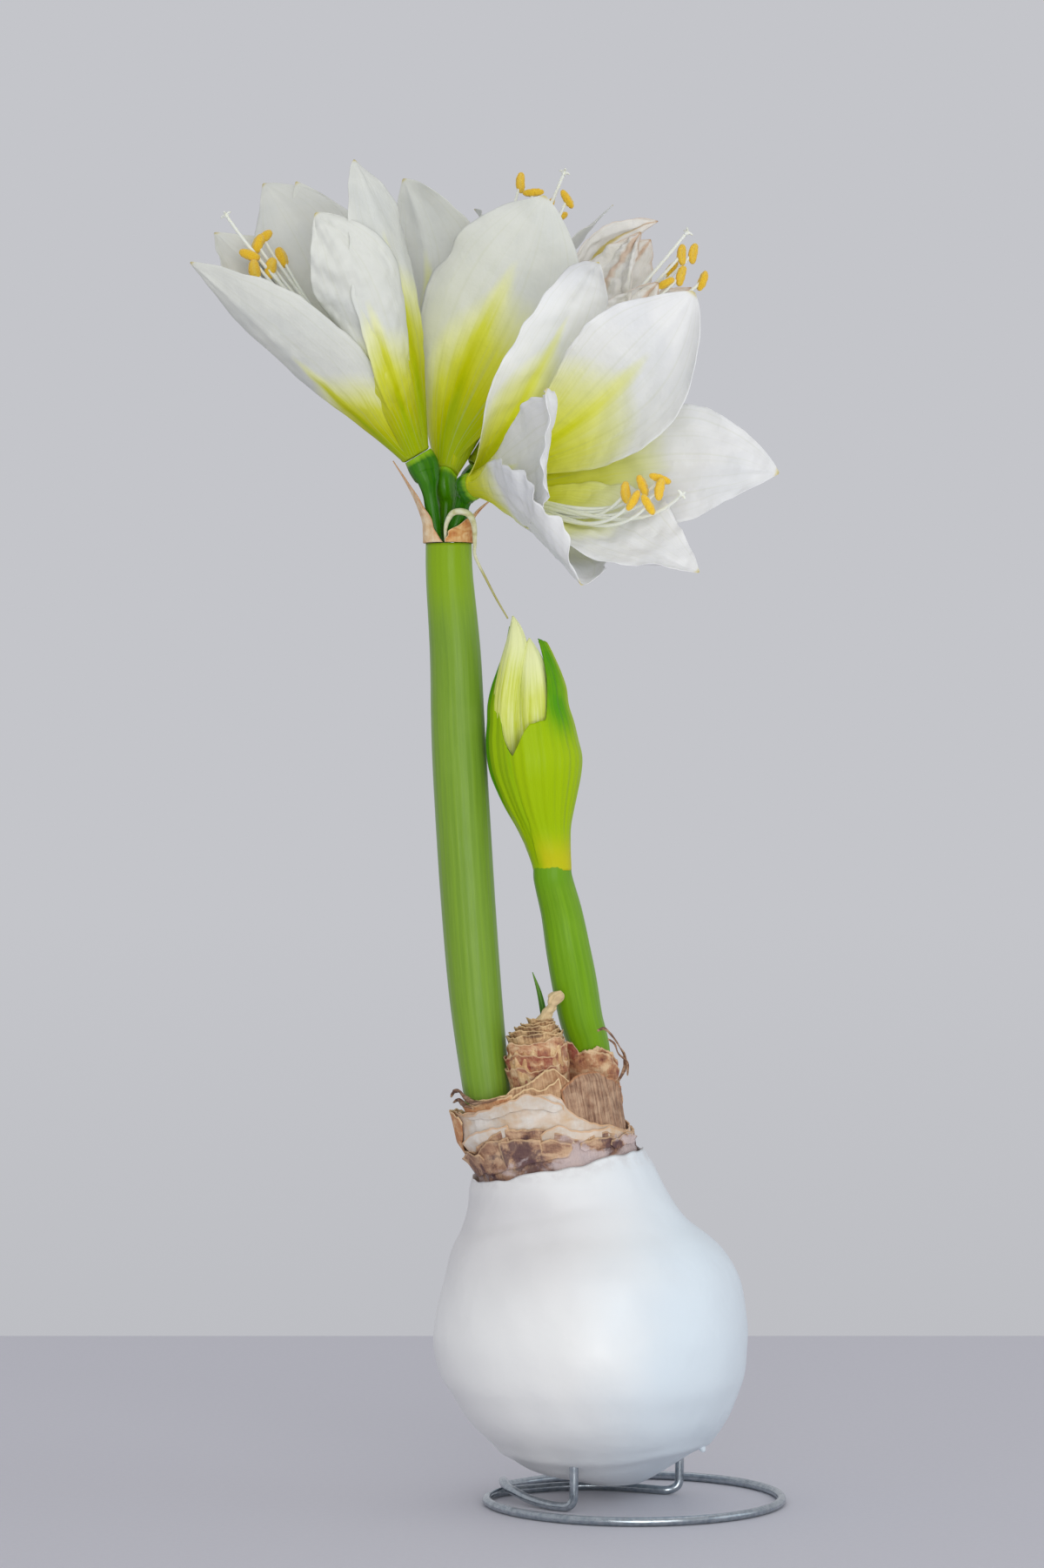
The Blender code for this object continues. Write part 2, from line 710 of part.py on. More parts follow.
def bulb_ring(level, inset, angles):
    """A ring of the bulb at a level, moved in by the inset."""
    lx, lz, rx, rz = cubic(BULB_LEVELS, np.asarray([level]))[0]
    ahead = cubic(BULB_LEVELS, np.asarray([min(level + 0.05, len(BULB_LEVELS) - 1)]))[0]
    behind = cubic(BULB_LEVELS, np.asarray([max(level - 0.05, 0.0)]))[0]
    centre = np.array([(lx + rx) / 2, bulb_back(level), (lz + rz) / 2])
    radius = np.hypot(rx - lx, rz - lz) / 2
    tilt = np.arctan2(rz - lz, rx - lx)
    wide_ahead = np.hypot(ahead[2] - ahead[0], ahead[3] - ahead[1])
    wide_behind = np.hypot(behind[2] - behind[0], behind[3] - behind[1])
    d_radius = (wide_ahead - wide_behind) / 2
    d_height = (ahead[1] + ahead[3] - behind[1] - behind[3]) / 2
    slope = np.arctan2(d_radius, d_height)
    x_axis = np.array([np.cos(tilt), 0.0, np.sin(tilt)])
    up = np.array([-np.sin(tilt), 0.0, np.cos(tilt)])
    spokes = np.cos(angles)[:, None] * x_axis + np.sin(angles)[:, None] * np.array([0.0, 1.0, 0.0])
    return centre + spokes * (radius - inset * np.cos(slope)) + up * inset * np.sin(slope)


def neck(points):
    """Points of the neck's frame in stand coordinates."""
    lean = np.radians(NECK_LEAN)
    p = np.asarray(points, float)
    x = p[..., 0] * np.cos(lean) - p[..., 2] * np.sin(lean)
    z = p[..., 0] * np.sin(lean) + p[..., 2] * np.cos(lean)
    return np.stack([x, p[..., 1], z], -1) + np.asarray(NECK_ORIGIN)


def neck_radius(angle, height, layer):
    """Outer radius of a layer of scales: 0 inside, 2 outside, with a bulge round the tall stem."""
    left = np.exp(-((np.degrees(angle) % 360 - 182) / 42) ** 2)
    bulge = 4.6 * left * np.clip((height - 1.0) / 12.0, 0, 1)
    drawn_in = 0.5 * np.maximum(height - 27, 0) * (1 - 0.6 * left)
    return LAYER_R + LAYER_STEP * layer + bulge - drawn_in


def along_angles(stations, angles):
    """Heights by angle in degrees, between stations that go once round."""
    stations = np.asarray(stations, float)
    return np.interp(np.degrees(angles) % 360, stations[:, 0], stations[:, 1])


def band(name, layer, low, top, group, paint, thickness=SCALE, around=30):
    """A scale that goes right round the neck, with an uneven top edge."""
    angles = np.arange(around) * 2 * np.pi / around
    high = along_angles(top, angles)
    outer, inner = [], []
    for level, share in ((low, 0.0), (1.0, 0.0), (13.0, 0.7), (50.0, 1.0)):
        height = np.minimum(level, 1.0 + (high - 1.0) * share) if share else np.full(around, level)
        r = neck_radius(angles, height, layer)
        for rings, radius in ((outer, r), (inner, r - thickness)):
            rings.append(neck(np.stack([np.cos(angles) * radius, np.sin(angles) * radius, height], -1)))
    return mesh_object(name, *loft(outer + inner[::-1], joined=True), group, paint)


def scale_plate(name, layer, span, low, top, group, paint, thickness=SCALE, rows=4):
    """A scale over part of the neck, from one angle to another."""
    angles = np.radians(np.linspace(*span, round((span[1] - span[0]) / 12) + 1))
    high = np.interp(np.degrees(angles), [p[0] for p in top], [p[1] for p in top])
    grid = []
    for t in np.linspace(0, 1, rows + 1):
        height = low + (high - low) * t
        r = neck_radius(angles, height, layer) - thickness / 2
        grid.append(neck(np.stack([np.cos(angles) * r, np.sin(angles) * r, height], -1)))
    return mesh_object(name, *blade(*thicken(np.array(grid), thickness)), group, paint)


def wire_points():
    """Down the front prong, over the floor, once round the ring, and up the back prong."""
    (x1, y1), (x2, y2) = PRONGS
    z = WIRE_Z
    path = [(x1, y1, PRONG_TOP), (x1, y1, 18), (x1, y1, 6.5), (x1 - 0.4, y1 + 0.2, 3.4)]
    path += [(x1 - 1.8, y1 + 0.8, z + 0.4), (x1 - 4.2, y1 + 2.2, z), (-29.2, -15.8, z + 0.2)]
    path += [(-35.0, -10.0, z + 1.1), (-39.4, -3.8, z + 2.4), (-41.8, 1.0, CROSSING_Z - 0.7)]
    path += [(-43.0, 5.4, CROSSING_Z - 0.1), (-43.5, 10.0, CROSSING_Z), (-43.6, 14.4, CROSSING_Z - 0.3)]
    path += [(-43.5, 18.6, z + 2.2), (-43.1, 22.4, z + 0.9)]
    for degrees in np.arange(149.0, -172.0, -12.7):
        angle = np.radians(degrees)
        lift = 0.25 * smooth(138, 149, degrees)
        path.append((RING_R * np.cos(angle), RING_R * np.sin(angle), z + lift))
    path += [(-49.0, -3.4, z), (-48.6, 1.8, z), (-47.2, 6.8, z), (-44.6, 11.2, z), (-40.6, 15.0, z)]
    path += [(-35.4, 18.2, z), (-30.2, 21.0, z), (-25.4, 23.2, z), (-19.6, 24.9, z), (-13.6, 25.4, z)]
    path += [(-6.6, 24.0, z), (0.6, 21.0, z), (7.4, 17.6, z), (x2 - 4.6, y2 - 1.2, z)]
    path += [(x2 - 1.9, y2 - 0.5, z + 0.6), (x2 - 0.4, y2 - 0.1, 3.5), (x2, y2, 6.6), (x2, y2, 18)]
    path += [(x2, y2, PRONG_TOP)]
    return path


def make_wire(group, paint):
    points = wire_points()
    obj = rod("wire_stand", points, [WIRE_R] * len(points), group, paint, resolution=2)
    floor = mesh_object(
        "floor_cutter",
        [(x, y, z) for z in (-8, 0) for x, y in ((-90, -90), (90, -90), (90, 90), (-90, 90))],
        [(3, 2, 1, 0), (4, 5, 6, 7), (0, 1, 5, 4), (1, 2, 6, 5), (2, 3, 7, 6), (3, 0, 4, 7)],
        group,
    )
    return cut(obj, [floor], group)


def make_wax(group, paint):
    """The wax coat: a thin bowl round the bulb, open at the top, with two holes for the prongs."""
    angles = np.arange(AROUND) * 2 * np.pi / AROUND
    top = len(BULB_LEVELS) - 1
    levels = np.linspace(0, top, 14)
    outer = [bulb_ring(level, 0.0, angles) for level in levels]
    inner = [bulb_ring(level, WAX, angles) for level in levels]
    wave = 0.9 * np.sin(3 * angles + 1.0) + 0.5 * np.sin(7 * angles)
    for ring in (outer[-1], inner[-1]):
        ring[:, 2] += wave
    pole = np.array(BULB_BOTTOM)
    floor = pole + (0.0, 0.0, WAX)
    obj = mesh_object("wax_coat", *loft(outer + inner[::-1], pole, floor), group, paint)
    holes = []
    for i, (x, y) in enumerate(PRONGS):
        holes.append(pillar(f"hole_{i}", (x, y, 0), (0, 0, 1), WIRE_R + 0.35, -2, 60, group))
    # The bowl is open, so a pillar as high as the prong passes through its wall only.
    return cut(obj, holes, group)


def make_bulb(group, paint):
    """The bulb inside the wax, with blind holes for the prongs and the stems."""
    angles = np.arange(AROUND) * 2 * np.pi / AROUND
    inset = WAX + GAP
    levels = np.linspace(0, len(BULB_LEVELS) - 1, 14)[:-1]
    rings = [bulb_ring(level, inset, angles) for level in levels]
    spokes = np.stack([np.cos(angles), np.sin(angles), np.zeros_like(angles)], -1)
    core = ((CORE_R, -4.0), (CORE_R, 4.0), (CORE_R - 1.2, CORE_TOP - 1.0), (CORE_R - 3, CORE_TOP))
    for radius, height in core:
        rings.append(neck(spokes * radius + (0, 0, height)))
    floor = np.array(BULB_BOTTOM) + (0.0, 0.0, inset)
    obj = mesh_object("bulb", *loft(rings, floor, neck((0, 0, CORE_TOP + 0.4))), group, paint)
    holes = [
        pillar(f"prong_hole_{i}", (x, y, 0), (0, 0, 1), WIRE_R + 0.35, -2, PRONG_TOP + GAP, group)
        for i, (x, y) in enumerate(PRONGS)
    ]
    for i, stem in enumerate((TALL_STEM, SHORT_STEM)):
        low, high = np.array(stem[0]), np.array(stem[1])
        way = unit(high[:3] - low[:3])
        holes.append(pillar(f"stem_hole_{i}", low[:3], way, low[3] + 0.35, -GAP, 60, group, around=16))
    return cut(obj, holes, group)


def make_scales(group, paints):
    """The dry scales: two that go right round, three inside them and a flap at the short stem."""
    band("crust_band", 2, -2.4, CRUST_TOP, group, paints["crust"])
    band("pale_band", 1, -2.4, PALE_TOP, group, paints["pale"])
    for name, span, low, top in INNER_SCALES:
        scale_plate(name, 0, span, low, top, group, paints["fibre"])
    table = np.array(FLAP_EDGE, float)
    degrees = np.linspace(table[0, 0], table[-1, 0], 9)
    angles, high = np.radians(degrees), np.interp(degrees, table[:, 0], table[:, 1])
    # The bottom follows the sloping top of the bulb.
    low = 125.95 + 1.71 * np.cos(angles)
    stem = np.array(SHORT_STEM)
    grid = []
    for t in np.linspace(0, 1, 4):
        height = low + (high - low) * t
        x, y = np.interp(height, stem[:, 2], stem[:, 0]), np.interp(height, stem[:, 2], stem[:, 1])
        radius = 9.2 + 0.4 * t**3
        grid.append(np.stack([x + np.cos(angles) * radius, y + np.sin(angles) * radius, height], -1))
    mesh_object("stem_flap", *blade(*thicken(np.array(grid), 0.7)), group, paints["fibre"])


def make_nose(group, paint):
    """Old leaf bases between the stems, with the stub of an old stalk on top."""
    angles = np.arange(14) * 2 * np.pi / 14
    levels = (
        (9.8, -2.0, -8.6, 8.4),
        (24.0, -1.4, -8.8, 9.3),
        (32.0, -0.8, -8.8, 9.8),
        (38.0, -0.4, -8.8, 9.6),
        (42.0, 0.4, -8.8, 8.6),
        (45.0, 0.8, -8.8, 6.8),
        (47.0, 2.6, -8.7, 4.4),
        (49.6, 4.8, -8.6, 2.3),
        (51.4, 6.6, -8.6, 1.9),
        (52.8, 8.2, -8.6, 2.2),
        (54.4, 9.3, -8.6, 2.7),
        (56.4, 9.8, -8.6, 2.1),
    )
    rings = []
    for height, x, y, r in levels:
        wavy = r * (1 + 0.03 * np.sin(3 * angles + height))
        across, back = x + np.cos(angles) * wavy, y + np.sin(angles) * wavy * 0.94
        rings.append(neck(np.stack([across, back, np.full_like(angles, height)], -1)))
    ends = neck((-2.0, -8.6, 9.8)), neck((9.9, -8.6, 57.4))
    mesh_object("neck_nose", *loft(rings, *ends), group, paint)


def make_small_dry(group, paints):
    """Curled dry tips beside the stems and the small green leaf tip."""
    right = ((21.0, -16.8, 42.0), (23.2, -16.2, 42.4), (24.8, -15.4, 40.6), (26.2, -14.0, 38.0))
    right += ((27.4, -12.4, 35.0), (28.4, -10.8, 32.0), (27.6, -9.4, 27.6), (24.5, -8.0, 23.4))
    widths = (0.4, 0.5, 0.6, 0.7, 0.7, 0.7, 0.6, 0.4)
    rod("dry_curl_right", [neck(p) for p in right], widths, group, paints["dark"], resolution=1)
    left = ((-30.6, -8.4, 25.6), (-28.0, -12.0, 25.6), (-24.8, -15.8, 25.2), (-21.0, -19.0, 25.6))
    left += ((-17.0, -21.6, 26.4),)
    widths = (0.5, 1.0, 1.0, 0.9, 0.5)
    rod("dry_curl_left", [neck(p) for p in left], widths, group, paints["dark"], resolution=1)
    leaf = ((-28.9, 0.7, 152.0), (-29.4, 0.4, 158.0), (-30.2, -0.2, 164.2), (-31.6, -0.8, 170.8))
    leaf += ((-33.8, -1.4, 177.0),)
    rod("leaf_tip", leaf, (0.9, 1.1, 1.0, 0.7, 0.3), group, paints["leaf"], resolution=1)


def make_sheath(group, paint):
    """The green sheath round the bud: a thin cup with a deep cut in front and behind."""
    around = 22
    angles = np.arange(around) * 2 * np.pi / around
    edge = along_angles(SHEATH_EDGE, angles)
    table = np.asarray(SHEATH_LEVELS)
    wall, floor = 0.8, 228.0

    def ring(height, inset):
        x = np.interp(height, table[:, 0], table[:, 1])
        r = np.interp(height, table[:, 0], table[:, 2]) - inset
        r = np.maximum(r, 0.35)
        return np.stack([x + np.cos(angles) * r, SHEATH_Y + np.sin(angles) * r, height], -1)

    outer = [ring(np.full(around, h), 0.0) for h in (211.6, 218.0, 224.0)]
    outer += [ring(224.0 + (edge - 224.0) * t, 0.0) for t in (0.2, 0.4, 0.6, 0.8, 0.92, 1.0)]
    inner = [ring(floor + (edge - floor) * t, wall) for t in (1.0, 0.92, 0.8, 0.6, 0.4, 0.2)]
    inner += [ring(np.full(around, floor), wall)]
    bottom = (SHEATH_LEVELS[0][1], SHEATH_Y, 211.6)
    inside = (np.interp(floor, table[:, 0], table[:, 1]), SHEATH_Y, floor)
    mesh_object("bud_sheath", *loft(outer + inner, bottom, inside), group, paint)


def make_buds(group, paint):
    """Closed flowers inside the sheath."""
    shapes = (
        ("bud_left", (-37.4, -10.0, 230.0), (-40.2, -12.8, 296.1), 3.2, (-1.2, -3.2, 0.0)),
        ("bud_middle", (-29.8, -11.4, 231.0), (-34.5, -12.0, 288.6), 4.7, (0.6, 0.0, 0.0)),
        ("bud_back", (-31.0, -2.0, 228.9), (-36.0, -1.6, 284.0), 4.4, (0.0, 0.0, 0.0)),
    )
    for name, low, high, radius, bend in shapes:
        low, high = np.array(low), np.array(high)
        steps = np.array((0.0, 0.08, 0.25, 0.45, 0.60, 0.74, 0.86, 0.95, 1.0))
        radii = np.array((0.25, 0.34, 0.62, 0.95, 1.0, 0.84, 0.52, 0.26, 0.08)) * radius
        bow = np.sin(np.pi * steps)[:, None] * np.array(bend)
        rod(name, low + (high - low) * steps[:, None] + bow, radii, group, paint, resolution=2)


def bract_shape(name, t):
    """How far a bract reaches to the front and to the back in degrees, and its radius."""
    if name == "bract_left":
        return (78 * (1 - t) ** 1.25 + 1.5 * t,) * 2 + (8.35 + 10.2 * (max(t - 0.2, 0) / 0.8) ** 1.5,)
    half = max(99 * (1 - (t / 0.68) ** 2), 9 * (1 - t) + 2)
    return half, 0.45 * half, 8.35 + 6.4 * (max(t - 0.5, 0) / 0.5) ** 1.1


def make_bracts(group, paint):
    """Two dry bracts round the top of the tall stem, drawn out into points."""
    top = np.array(TALL_STEM[-1][:3])
    for name, centre, rise in (("bract_left", 180, 27.5), ("bract_right", 0, 15.0)):
        rows, cols = 7, 7
        grid = np.zeros((rows, cols + 1, 3))
        for i, t in enumerate(np.linspace(0, 1, rows)):
            front, back, r = bract_shape(name, t)
            angles = np.radians(np.linspace(centre - front, centre + back, cols + 1))
            height = np.full(cols + 1, 0.2 + rise * t)
            grid[i] = top + np.stack([np.cos(angles) * r, np.sin(angles) * r, height], -1)
        mesh_object(name, *blade(*thicken(grid, 0.6)), group, paint)


def make_bracteole(group, paint):
    """The thin dry strip that hangs from the top of the tall stem."""
    points = ((-62.8, -6.2, 321.3), (-62.6, -7.6, 326.4), (-60.6, -9.2, 330.2), (-57.6, -10.2, 330.9))
    points += ((-54.7, -10.4, 329.6), (-53.2, -10.2, 326.0), (-53.0, -9.8, 320.2), (-52.8, -9.2, 315.9))
    points += ((-48.9, -9.4, 307.8), (-45.6, -11.5, 301.4), (-43.2, -13.8, 297.4))
    widths = (0.4, 0.7, 0.9, 1.0, 0.9, 0.7, 0.45, 0.4, 0.38, 0.35, 0.3)
    rod("bracteole", points, widths, group, paint, resolution=1)


def make_stalk(bloom, group, paint):
    """A flower stalk with the swelling under the flower."""
    a = unit(bloom.axis)
    foot, egg = np.array(bloom.foot), np.array(bloom.egg)
    top = np.array(bloom.base) - a * (0.3 + GAP)
    lift = foot + np.array((0.0, 0.0, 1.0))
    lean = unit(unit(top - egg) + (0.0, 0.0, 1.0))
    way = bezier(lift, lift + np.array((0.0, 0.0, 4.0)), egg - lean * 4.0, egg, 5)
    high = top - a * 2.4
    upper = bezier(egg, egg + unit(high - egg) * 2.4, high - a * 1.4, high, 4)
    points = [foot, *way, *upper[1:], top]
    swell = bloom.swelling
    radii = (2.2, 2.2, 2.3, 2.4, 2.5, 0.7 * swell, 0.91 * swell, swell, swell, 0.88 * swell)
    rod(f"stalk_{bloom.name}", points, radii, group, paint, resolution=2)


def make_bloom(bloom, group, paint):
    """Six tepals fused with the short tube at their base."""
    rows, cols = BLADE_STEPS
    steps = np.concatenate([np.linspace(0, 0.9, rows), [0.975]])
    u, v = np.meshgrid(steps, np.linspace(-1, 1, cols + 1), indexing="ij")
    inner, outer = TUBE_R - 0.75, TUBE_R + 0.75
    pieces = [ring_wall(f"tube_{bloom.name}", bloom.base, bloom.axis, inner, outer, -0.3, 3.4, group)]
    for i, tepal in enumerate(bloom.tepals):
        grid = tepal_points(u, v, bloom.base, bloom.axis, tepal)
        pieces.append(mesh_object(f"tepal_{bloom.name}_{i}", *blade(*thicken(grid, BLADE)), group))
    return fused(f"bloom_{bloom.name}", pieces, group, paint)


def make_stamens(bloom, group, paint):
    """Threads with pollen heads and the style, standing on one small disc in the tube."""
    a, e1, e2 = frame_of(bloom.axis)
    base = np.array(bloom.base)
    pieces = [pillar(f"disc_{bloom.name}", base, bloom.axis, 2.4, -0.25, 1.4, group, around=10)]
    sag = np.array(bloom.sag)
    ends = [(np.array(p[:3]), p[3]) for p in bloom.anthers] + [(np.array(bloom.stigma), None)]
    for i, (end, heading) in enumerate(ends):
        turn = np.radians(30 + 60 * i)
        spoke = (np.cos(turn) * e1 + np.sin(turn) * e2) * (1.55 if heading is not None else 0.0)
        start = base + spoke + a * 0.6
        reach = np.linalg.norm(end - start)
        knee, last = start + a * reach * 0.35 + sag * 0.1, end - unit(end - base) * reach * 0.3 + sag
        path = bezier(start, knee, last, end, 5)
        radius = FILAMENT_R if heading is not None else STYLE_R
        pieces.append(rod(f"thread_{bloom.name}_{i}", path, [radius] * 5, group, resolution=0))
        if heading is None:
            size = (1.3, 1.3, 1.0)
            pieces.append(ball(f"stigma_{bloom.name}", end, size, a, group, around=6, levels=3))
            continue
        tilt = np.radians(heading)
        way = (np.cos(tilt), 0.15, np.sin(tilt))
        pieces.append(ball(f"head_{bloom.name}_{i}", end, ANTHER, way, group, around=6, levels=2))
    return fused(f"stamens_{bloom.name}", pieces, group, paint)


def move_to_origin(group):
    """Moves every piece so that the middle of the bottom of the bounding box is the origin."""
    bpy.context.view_layer.update()
    points = np.array([v.co for obj in group.objects for v in obj.data.vertices])
    low, high = points.min(axis=0), points.max(axis=0)
    shift = Matrix.Translation((-(low[0] + high[0]) / 2, -(low[1] + high[1]) / 2, -low[2]))
    for obj in group.objects:
        obj.data.transform(shift)


def main():
    clear_scene()
    group = collection("amaryllis_on_wire_stand")
    green = (0.16, 0.36, 0.03)
    make_wire(group, material("galvanised_wire", (0.55, 0.56, 0.57), 0.35, metallic=1.0))
    make_wax(group, material("white_wax", (0.86, 0.88, 0.90), 0.2))
    make_bulb(group, material("bulb_flesh", (0.45, 0.28, 0.15), 0.8))
    paints = {
        "crust": material("dark_crust", (0.16, 0.11, 0.10), 0.85),
        "pale": material("pale_scale", (0.72, 0.58, 0.42), 0.7),
        "fibre": material("brown_scale", (0.42, 0.24, 0.13), 0.75),
        "dark": material("dark_dry_tip", (0.2, 0.1, 0.07), 0.8),
        "leaf": material("leaf_green", green, 0.4),
    }
    make_scales(group, paints)
    make_nose(group, material("old_leaf_base", (0.40, 0.20, 0.13), 0.75))
    make_small_dry(group, paints)
    stems = (("tall_stem", TALL_STEM, (0.22, 0.42, 0.08)), ("short_stem", SHORT_STEM, green))
    for name, stem, tint in stems:
        paint = material(name + "_green", tint, 0.4)
        rod(name, [s[:3] for s in stem], [s[3] for s in stem], group, paint, resolution=5)
    make_sheath(group, material("sheath_green", (0.35, 0.5, 0.03), 0.4))
    make_buds(group, material("bud_pale_green", (0.7, 0.78, 0.35), 0.45))
    make_bracts(group, material("dry_bract", (0.72, 0.47, 0.24), 0.7))
    make_bracteole(group, material("thin_bracteole", (0.75, 0.76, 0.55), 0.6))
    for bloom in BLOOMS:
        make_stalk(bloom, group, material(f"stalk_green_{bloom.name}", green, 0.4))
        make_bloom(bloom, group, material(f"white_petal_{bloom.name}", (0.9, 0.91, 0.88), 0.5))
        make_stamens(bloom, group, material(f"pollen_{bloom.name}", (0.85, 0.6, 0.05), 0.7))
    move_to_origin(group)


main()
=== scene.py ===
"""Looks of the white amaryllis that grows from a waxed bulb on a ring of bent wire.

Sizes and places are in millimetres round the middle of the wire ring: x right, y to the back,
z up. The bench puts finished meshes into the part's own frame, in metres.
"""

from __future__ import annotations

import logging
from collections.abc import Sequence
from dataclasses import dataclass, field
from enum import Enum

import bpy
import numpy as np
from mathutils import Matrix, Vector

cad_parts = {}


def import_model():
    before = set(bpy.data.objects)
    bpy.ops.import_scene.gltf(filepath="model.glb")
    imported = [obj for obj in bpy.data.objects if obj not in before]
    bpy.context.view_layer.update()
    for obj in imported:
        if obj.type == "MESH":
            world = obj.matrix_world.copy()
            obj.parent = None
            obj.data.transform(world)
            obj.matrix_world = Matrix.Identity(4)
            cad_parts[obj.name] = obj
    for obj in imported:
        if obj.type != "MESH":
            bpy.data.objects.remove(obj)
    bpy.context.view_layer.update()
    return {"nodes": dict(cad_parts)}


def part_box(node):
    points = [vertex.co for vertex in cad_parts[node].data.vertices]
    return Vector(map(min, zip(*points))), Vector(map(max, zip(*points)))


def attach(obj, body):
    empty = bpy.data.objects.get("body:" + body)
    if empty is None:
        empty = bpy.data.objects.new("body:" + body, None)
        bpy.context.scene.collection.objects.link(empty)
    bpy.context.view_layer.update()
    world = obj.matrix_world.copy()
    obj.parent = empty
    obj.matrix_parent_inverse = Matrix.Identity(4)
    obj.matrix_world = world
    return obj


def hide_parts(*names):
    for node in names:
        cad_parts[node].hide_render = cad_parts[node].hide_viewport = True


LOG = logging.getLogger("amaryllis")
MM = 0.001
RING_FROM_RIGHT = 50.8597  # middle of the ring from the right end of the wire's box
RING_FROM_FRONT = 50.9084  # and from its front
BACKWARD = np.array([0, 1, 0])

Array = np.ndarray
Colour = tuple[float, float, float]
Place = tuple[float, float, float]
Stations = tuple[tuple[float, float], ...]
Socket = bpy.types.NodeSocket
Material = bpy.types.Material


# Numbers and shapes


def unit(v: Array | Sequence[float]) -> Array:
    """Vectors of length 1 along the given ones."""
    v = np.asarray(v, float)
    return v / np.maximum(np.linalg.norm(v, axis=-1, keepdims=True), 1e-9)


def smooth(low: float, high: float, x: Array | float) -> Array:
    """A soft step: 0 below low, 1 above high, 3t² − 2t³ between."""
    t = np.clip((x - low) / (high - low), 0, 1)
    return t * t * (3 - 2 * t)


def share01(x: Array) -> Array:
    """Values kept between 0 and 1."""
    return np.clip(x, 0, 1)


def bell(x: Array) -> Array:
    """A soft hump: exp(−x²)."""
    return np.exp(-(x**2))


def rows01(count: int) -> Array:
    """Even shares from 0 to 1, one to a row."""
    return np.linspace(0, 1, count)[:, None]


def join(*parts: Array | float) -> Array:
    """Arrays spread to one shape and set side by side along a new last axis."""
    return np.stack(np.broadcast_arrays(*parts), -1)


def circle(count: int) -> Array:
    """Evenly spread angles once round a circle, in radians."""
    return np.arange(count) * 2 * np.pi / count


def polar(turn: Array, radius: Array | float, height: Array | float) -> Array:
    """Points at an angle, a distance from the upright axis and a height."""
    return join(np.cos(turn) * radius, np.sin(turn) * radius, height)


def spokes(angles: Array | float, first: Array, second: Array) -> Array:
    """Directions in the plane of two unit vectors: cos θ·first + sin θ·second."""
    angles = np.asarray(angles)[..., None]
    return np.cos(angles) * first + np.sin(angles) * second


def oval(angles: Array, wide: float, tall: float) -> Array:
    """The radius of an ellipse with these half widths at each angle."""
    return 1 / np.sqrt((np.cos(angles) / wide) ** 2 + (np.sin(angles) / tall) ** 2)


def axis_frame(axis: Array | Sequence[float]) -> tuple[Array, Array, Array]:
    """The axis and two directions across it, right-handed.

    Args:
        axis: any direction.

    Returns:
        The unit axis and two unit vectors square to it and to each other.
    """
    a = unit(axis)
    up = (0, 0, 1) if abs(a[2]) < 0.95 else (0, 1, 0)
    first = unit(np.cross(up, a))
    return a, first, np.cross(a, first)


def through(table: Array | Sequence, at: Array) -> Array:
    """Smooth values between the rows of a table, by the Catmull-Rom formula.

    Args:
        table: rows of values.
        at: where to read, as row numbers with fractions.

    Returns:
        One row of values for each entry of at.
    """
    table = np.asarray(table, float)
    last = len(table) - 1
    at = np.clip(at, 0, last)
    i = np.minimum(at.astype(int), last - 1)
    f = (at - i)[..., None]
    p0, p1 = table[np.maximum(i - 1, 0)], table[i]
    p2, p3 = table[i + 1], table[np.minimum(i + 2, last)]
    cubes = (3 * p1 - p0 - 3 * p2 + p3) * f**3
    return 0.5 * (2 * p1 + (p2 - p0) * f + (2 * p0 - 5 * p1 + 4 * p2 - p3) * f**2 + cubes)


def edge_at(stations: Stations, degrees: Array) -> Array:
    """The height of an edge at each angle, straight between its stations."""
    return np.interp(degrees, *np.transpose(stations))


def folded(out: Array, back: Array) -> Array:
    """The rows of one grid, then those of another from its last one back."""
    return np.concatenate([out, back[::-1]])


def round_table(stations: Stations, degrees: Array) -> Array:
    """Values round a circle: straight between stations, with each corner eased by a soft step.

    Args:
        stations: pairs of angle and value, from 0 to 360 degrees.
        degrees: angles to read.

    Returns:
        The value at each angle.
    """
    table = np.asarray(stations, float)
    turn = np.asarray(degrees, float) % 360
    i = np.clip(np.searchsorted(table[:, 0], turn, side="right") - 1, 0, len(table) - 2)
    share = (turn - table[i, 0]) / (table[i + 1, 0] - table[i, 0])
    eased = 0.5 * share + 0.5 * smooth(0, 1, share)
    return table[i, 1] + (table[i + 1, 1] - table[i, 1]) * eased


def lumps(points: Array, size: float, seed: int, waves: int = 7) -> Array:
    """Smooth bumps in space: the sum of sine waves in random directions, about −1 to 1.

    Args:
        points: points in millimetres, last axis x, y, z.
        size: rough distance from one bump to the next.
        seed: makes the same bumps each time.
        waves: number of sine waves.

    Returns:
        The height of the bumps at each point.
    """
    draw = np.random.default_rng(seed)
    total = np.zeros(points.shape[:-1])
    for way in unit(draw.normal(size=(waves, 3))):
        step = size * draw.uniform(0.65, 1.5)
        total += np.sin(points @ way * 2 * np.pi / step + draw.uniform(0, 2 * np.pi))
    return total / waves * 1.7


def ragged(angles: Array, seed: int, counts: Sequence[int]) -> Array:
    """An uneven edge round a circle: sines of whole numbers of turns, smaller as they get finer."""
    draw = np.random.default_rng(seed)
    total = np.zeros_like(angles)
    for count in counts:
        total += np.sin(count * angles + draw.uniform(0, 2 * np.pi)) * (counts[0] / count) ** 0.6
    return total / len(counts) * 1.6


def bezier(p0: Array, p1: Array, p2: Array, p3: Array, s: Array) -> Array:
    """Points of the cubic Bézier curve with these four control points at the shares s."""
    return (1 - s) ** 3 * p0 + 3 * (1 - s) ** 2 * s * p1 + 3 * (1 - s) * s**2 * p2 + s**3 * p3


